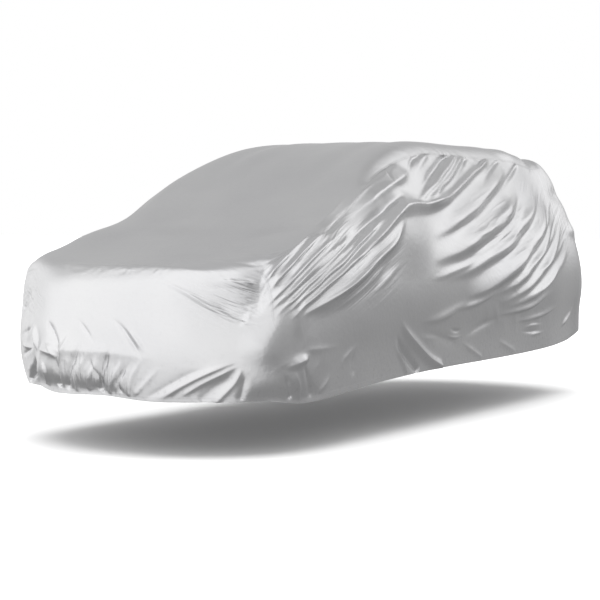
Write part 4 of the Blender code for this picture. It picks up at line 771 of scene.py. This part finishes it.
def build():
    corners, faces, panel_of = cloth_form(LEVELS)
    corners = hung(corners)
    normals = vertex_normals(corners, faces)
    folds = laid_folds(corners, normals)
    seam = corners[np.intersect1d(faces[panel_of == 0], faces[panel_of != 0])]
    chosen = busiest(cloth_height(corners, normals, folds, seam), faces, panel_of)
    corners, polygons, panel_of = refined(corners, faces, panel_of, chosen)
    normals = polygon_normals(corners, polygons)
    corners = corners + normals * cloth_height(corners, normals, folds, seam)[:, None]
    normals = polygon_normals(corners, polygons)

    # Lines on the cloth: the hem all round, and the seam on each side.
    uses, panels_beside = {}, {}
    for polygon, panel in zip(polygons, panel_of):
        for a, b in zip(polygon, polygon[1:] + polygon[:1]):
            key = (a, b) if a < b else (b, a)
            uses[key] = uses.get(key, 0) + 1
            panels_beside.setdefault(key, set()).add(int(panel))
    hem_edges = [edge for edge, count in uses.items() if count == 1]
    hem_corners = sorted({v for edge in hem_edges for v in edge}, key=lambda v: (-corners[v][1], abs(corners[v][0])))
    hem_line = chain(hem_edges, hem_corners[0])
    lines = {"hem": measured_along(corners, hem_line)}
    for side, number in (("left", 1), ("right", 2)):
        edges = [edge for edge, panels in panels_beside.items() if panels == {0, number}]
        ends = {}
        for edge in edges:
            for v in edge:
                ends[v] = ends.get(v, 0) + 1
        start = max((v for v, count in ends.items() if count == 1), key=lambda v: corners[v][1])
        lines[side] = measured_along(corners, chain(edges, start))
    nearer = lines["left"][0] < lines["right"][0]
    beside_seam = [np.where(nearer, lines["left"][k], lines["right"][k]) for k in range(2)]
    beside_seam[0] = beside_seam[0] + 0.03 * (1 - rise((corners[:, 2] - 0.62) / 0.14))  # low down it is pressed flat and doesn't show

    # Flat coordinates of each panel's cloth in metres: across and along.
    profile = np.where(np.abs(corners[:, 0]) < 1e-3)[0]
    profile = corners[profile[np.argsort(np.arctan2(corners[profile, 2] - 0.4, -corners[profile, 1]))]]
    run = np.concatenate([[0], np.cumsum(np.linalg.norm(np.diff(profile[:, 1:], axis=0), axis=1))])
    angle = np.arctan2(profile[:, 2] - 0.4, -profile[:, 1])
    top_run = np.interp(np.arctan2(corners[:, 2] - 0.4, -corners[:, 1]), angle, run)

    corners = corners - np.array([0.0, CARRY_Y, CARRY_Z])
    made = []
    for number, name in enumerate(PANELS):
        own = [polygon for polygon, panel in zip(polygons, panel_of) if panel == number]
        used, index = np.unique(np.concatenate([np.array(p) for p in own]), return_inverse=True)
        cuts = np.cumsum([len(p) for p in own])[:-1]
        mesh = bpy.data.meshes.new(name + "_cloth")
        mesh.from_pydata(corners[used].tolist(), [], [part.tolist() for part in np.split(index, cuts)])
        mesh.shade_smooth()
        for label, values in (("hem_away", lines["hem"][0]), ("hem_along", lines["hem"][1]), ("seam_away", beside_seam[0]), ("seam_along", beside_seam[1])):
            mesh.attributes.new(label, "FLOAT", "POINT").data.foreach_set("value", values[used].astype(np.float32))
        flat = np.stack([corners[used, 0], top_run[used]] if number == 0 else [corners[used, 1], corners[used, 2]], axis=1)
        loops = np.zeros(len(mesh.loops), np.int32)
        mesh.loops.foreach_get("vertex_index", loops)
        mesh.uv_layers.new(name="cloth_metres").data.foreach_set("uv", flat[loops].astype(np.float32).ravel())
        mesh.normals_split_custom_set_from_vertices(normals[used].tolist())
        piece = bpy.data.objects.new(name + "_cloth", mesh)
        bpy.context.scene.collection.objects.link(piece)
        mesh.materials.append(cloth_material(name + "_silver", number == 0))
        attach(piece, "root")
        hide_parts(name)
        print("AREA", name, round(float(sum(f.area for f in mesh.polygons)), 3), "triangles", sum(len(p) - 2 for p in own))
        made.append(piece)
    return made


sheets = build()

# ---------------------------------------------------------------- stage, light and camera
GROUND = -CARRY_Z


def material(name, colour, roughness):
    m = bpy.data.materials.new(name)
    m.use_nodes = True
    b = m.node_tree.nodes["Principled BSDF"]
    b.inputs["Base Color"].default_value = colour
    b.inputs["Roughness"].default_value = roughness
    return m


bpy.ops.mesh.primitive_plane_add(size=160, location=(0, 0, GROUND))
floor = bpy.context.object
floor.name = "floor"
floor.data.materials.append(material("floor_pale", (0.86, 0.86, 0.86, 1), 0.9))
floor.visible_diffuse = floor.visible_glossy = False  # the studio below the horizon lights the cloth instead


def ground(x, y, z):
    """A place given from mid-wheelbase and the ground."""
    return (x, y - CARRY_Y, z - CARRY_Z)


# The studio: grey walls, a pale ceiling, a wide bright bank in front, a smaller one beyond the far side, one at the rear and
# two overhead, all with soft borders, and dark cards with a negative brightness that hold the light off the flanks and
# the roof. Each is the way to its middle, where its border begins and ends (as cosines) and how bright it is.
Bank = namedtuple("Bank", "x y z edge core light")
BANKS = [
    Bank(-0.08, -0.97, 0.20, 0.16, 0.48, 0.98),
    Bank(-0.98, 0.17, 0.10, 0.82, 0.97, 0.70),
    Bank(0.258, 0.844, 0.470, 0.915, 0.982, 0.76),
    Bank(0.70, 0.45, 0.55, 0.80, 0.93, 0.45),
    Bank(0.45, 0.05, 0.90, 0.90, 0.97, 0.40),
    Bank(0.64, 0.77, 0.03, 0.85, 0.97, -0.10),
    Bank(0.030, 0.719, 0.695, 0.970, 0.995, -0.20),
    Bank(0.708, -0.553, 0.438, 0.80, 0.97, -0.22),
]
WALLS = [(0.30, 0.46), (0.48, 0.53), (0.60, 0.58), (0.80, 0.60), (1.00, 0.62)]  # height from 0 below to 1 above, brightness

world = bpy.data.worlds.new("studio")
bpy.context.scene.world = world
world.use_nodes = True
wn = world.node_tree


def world_math(operation, first, second):
    node = wn.nodes.new("ShaderNodeMath")
    node.operation = operation
    wn.links.new(first, node.inputs[0])
    if isinstance(second, float):
        node.inputs[1].default_value = second
    else:
        wn.links.new(second, node.inputs[1])
    return node.outputs[0]


ways = wn.nodes.new("ShaderNodeTexCoord")
split = wn.nodes.new("ShaderNodeSeparateXYZ")
wn.links.new(ways.outputs["Generated"], split.inputs["Vector"])
raised = world_math("MULTIPLY", world_math("ADD", split.outputs["Z"], 1.0), 0.5)
walls = wn.nodes.new("ShaderNodeValToRGB")
wn.links.new(raised, walls.inputs["Fac"])
walls.color_ramp.interpolation = "EASE"
for number, (place, light) in enumerate(WALLS):
    stop = walls.color_ramp.elements[number] if number < 2 else walls.color_ramp.elements.new(place)
    stop.position, stop.color = place, (light, light, light, 1)
brightness = walls.outputs["Color"]
for bank in BANKS:
    length = math.sqrt(bank.x**2 + bank.y**2 + bank.z**2)
    dot = wn.nodes.new("ShaderNodeVectorMath")
    dot.operation = "DOT_PRODUCT"
    wn.links.new(ways.outputs["Generated"], dot.inputs[0])
    dot.inputs[1].default_value = (bank.x / length, bank.y / length, bank.z / length)
    border = wn.nodes.new("ShaderNodeMapRange")
    border.interpolation_type = "SMOOTHERSTEP"
    border.inputs["From Min"].default_value = bank.edge
    border.inputs["From Max"].default_value = bank.core
    wn.links.new(dot.outputs["Value"], border.inputs["Value"])
    brightness = world_math("ADD", brightness, world_math("MULTIPLY", border.outputs["Result"], bank.light))
# below the horizon the studio falls away into shade
shade = wn.nodes.new("ShaderNodeMapRange")
shade.interpolation_type = "SMOOTHSTEP"
shade.inputs["From Min"].default_value, shade.inputs["From Max"].default_value = -0.50, -0.06
shade.inputs["To Min"].default_value = 0.78
wn.links.new(split.outputs["Z"], shade.inputs["Value"])
brightness = world_math("MULTIPLY", brightness, shade.outputs["Result"])
background = wn.nodes["Background"]
wn.links.new(brightness, background.inputs["Color"])
background.inputs["Strength"].default_value = 1.0
white = wn.nodes.new("ShaderNodeBackground")
white.inputs["Color"].default_value = (1, 1, 1, 1)
white.inputs["Strength"].default_value = 1.0
mix = wn.nodes.new("ShaderNodeMixShader")
path = wn.nodes.new("ShaderNodeLightPath")
wn.links.new(path.outputs["Is Camera Ray"], mix.inputs["Fac"])
wn.links.new(background.outputs["Background"], mix.inputs[1])
wn.links.new(white.outputs["Background"], mix.inputs[2])
wn.links.new(mix.outputs["Shader"], wn.nodes["World Output"].inputs["Surface"])

# A wide light overhead whitens the floor alone, and leaves the cover's soft shadow on it.
lamp = bpy.data.lights.new("overhead", "SUN")
lamp.energy, lamp.angle = 2.6, math.radians(70)
overhead = bpy.data.objects.new("overhead", lamp)
bpy.context.scene.collection.objects.link(overhead)
overhead.location = (0, 0, 5)
floor_only = bpy.data.collections.new("floor_only")
floor_only.objects.link(floor)
overhead.light_linking.receiver_collection = floor_only

AZIMUTH, ELEVATION, DISTANCE = 0.55522, 0.04878, 9.60142
back = Vector((math.sin(AZIMUTH) * math.cos(ELEVATION), -math.cos(AZIMUTH) * math.cos(ELEVATION), math.sin(ELEVATION)))
lens = bpy.data.cameras.new("camera")
lens.sensor_width = 36.0
lens.lens = 36.0 * 1682.52 / 600.0
lens.clip_end = 500
camera = bpy.data.objects.new("camera", lens)
bpy.context.scene.collection.objects.link(camera)
camera.location = Vector(ground(0.56071, -1.2453, 0.8)) + back * DISTANCE
camera.rotation_euler = (-back).to_track_quat("-Z", "Y").to_euler()
bpy.context.scene.camera = camera
bpy.context.scene.view_settings.view_transform = "Standard"
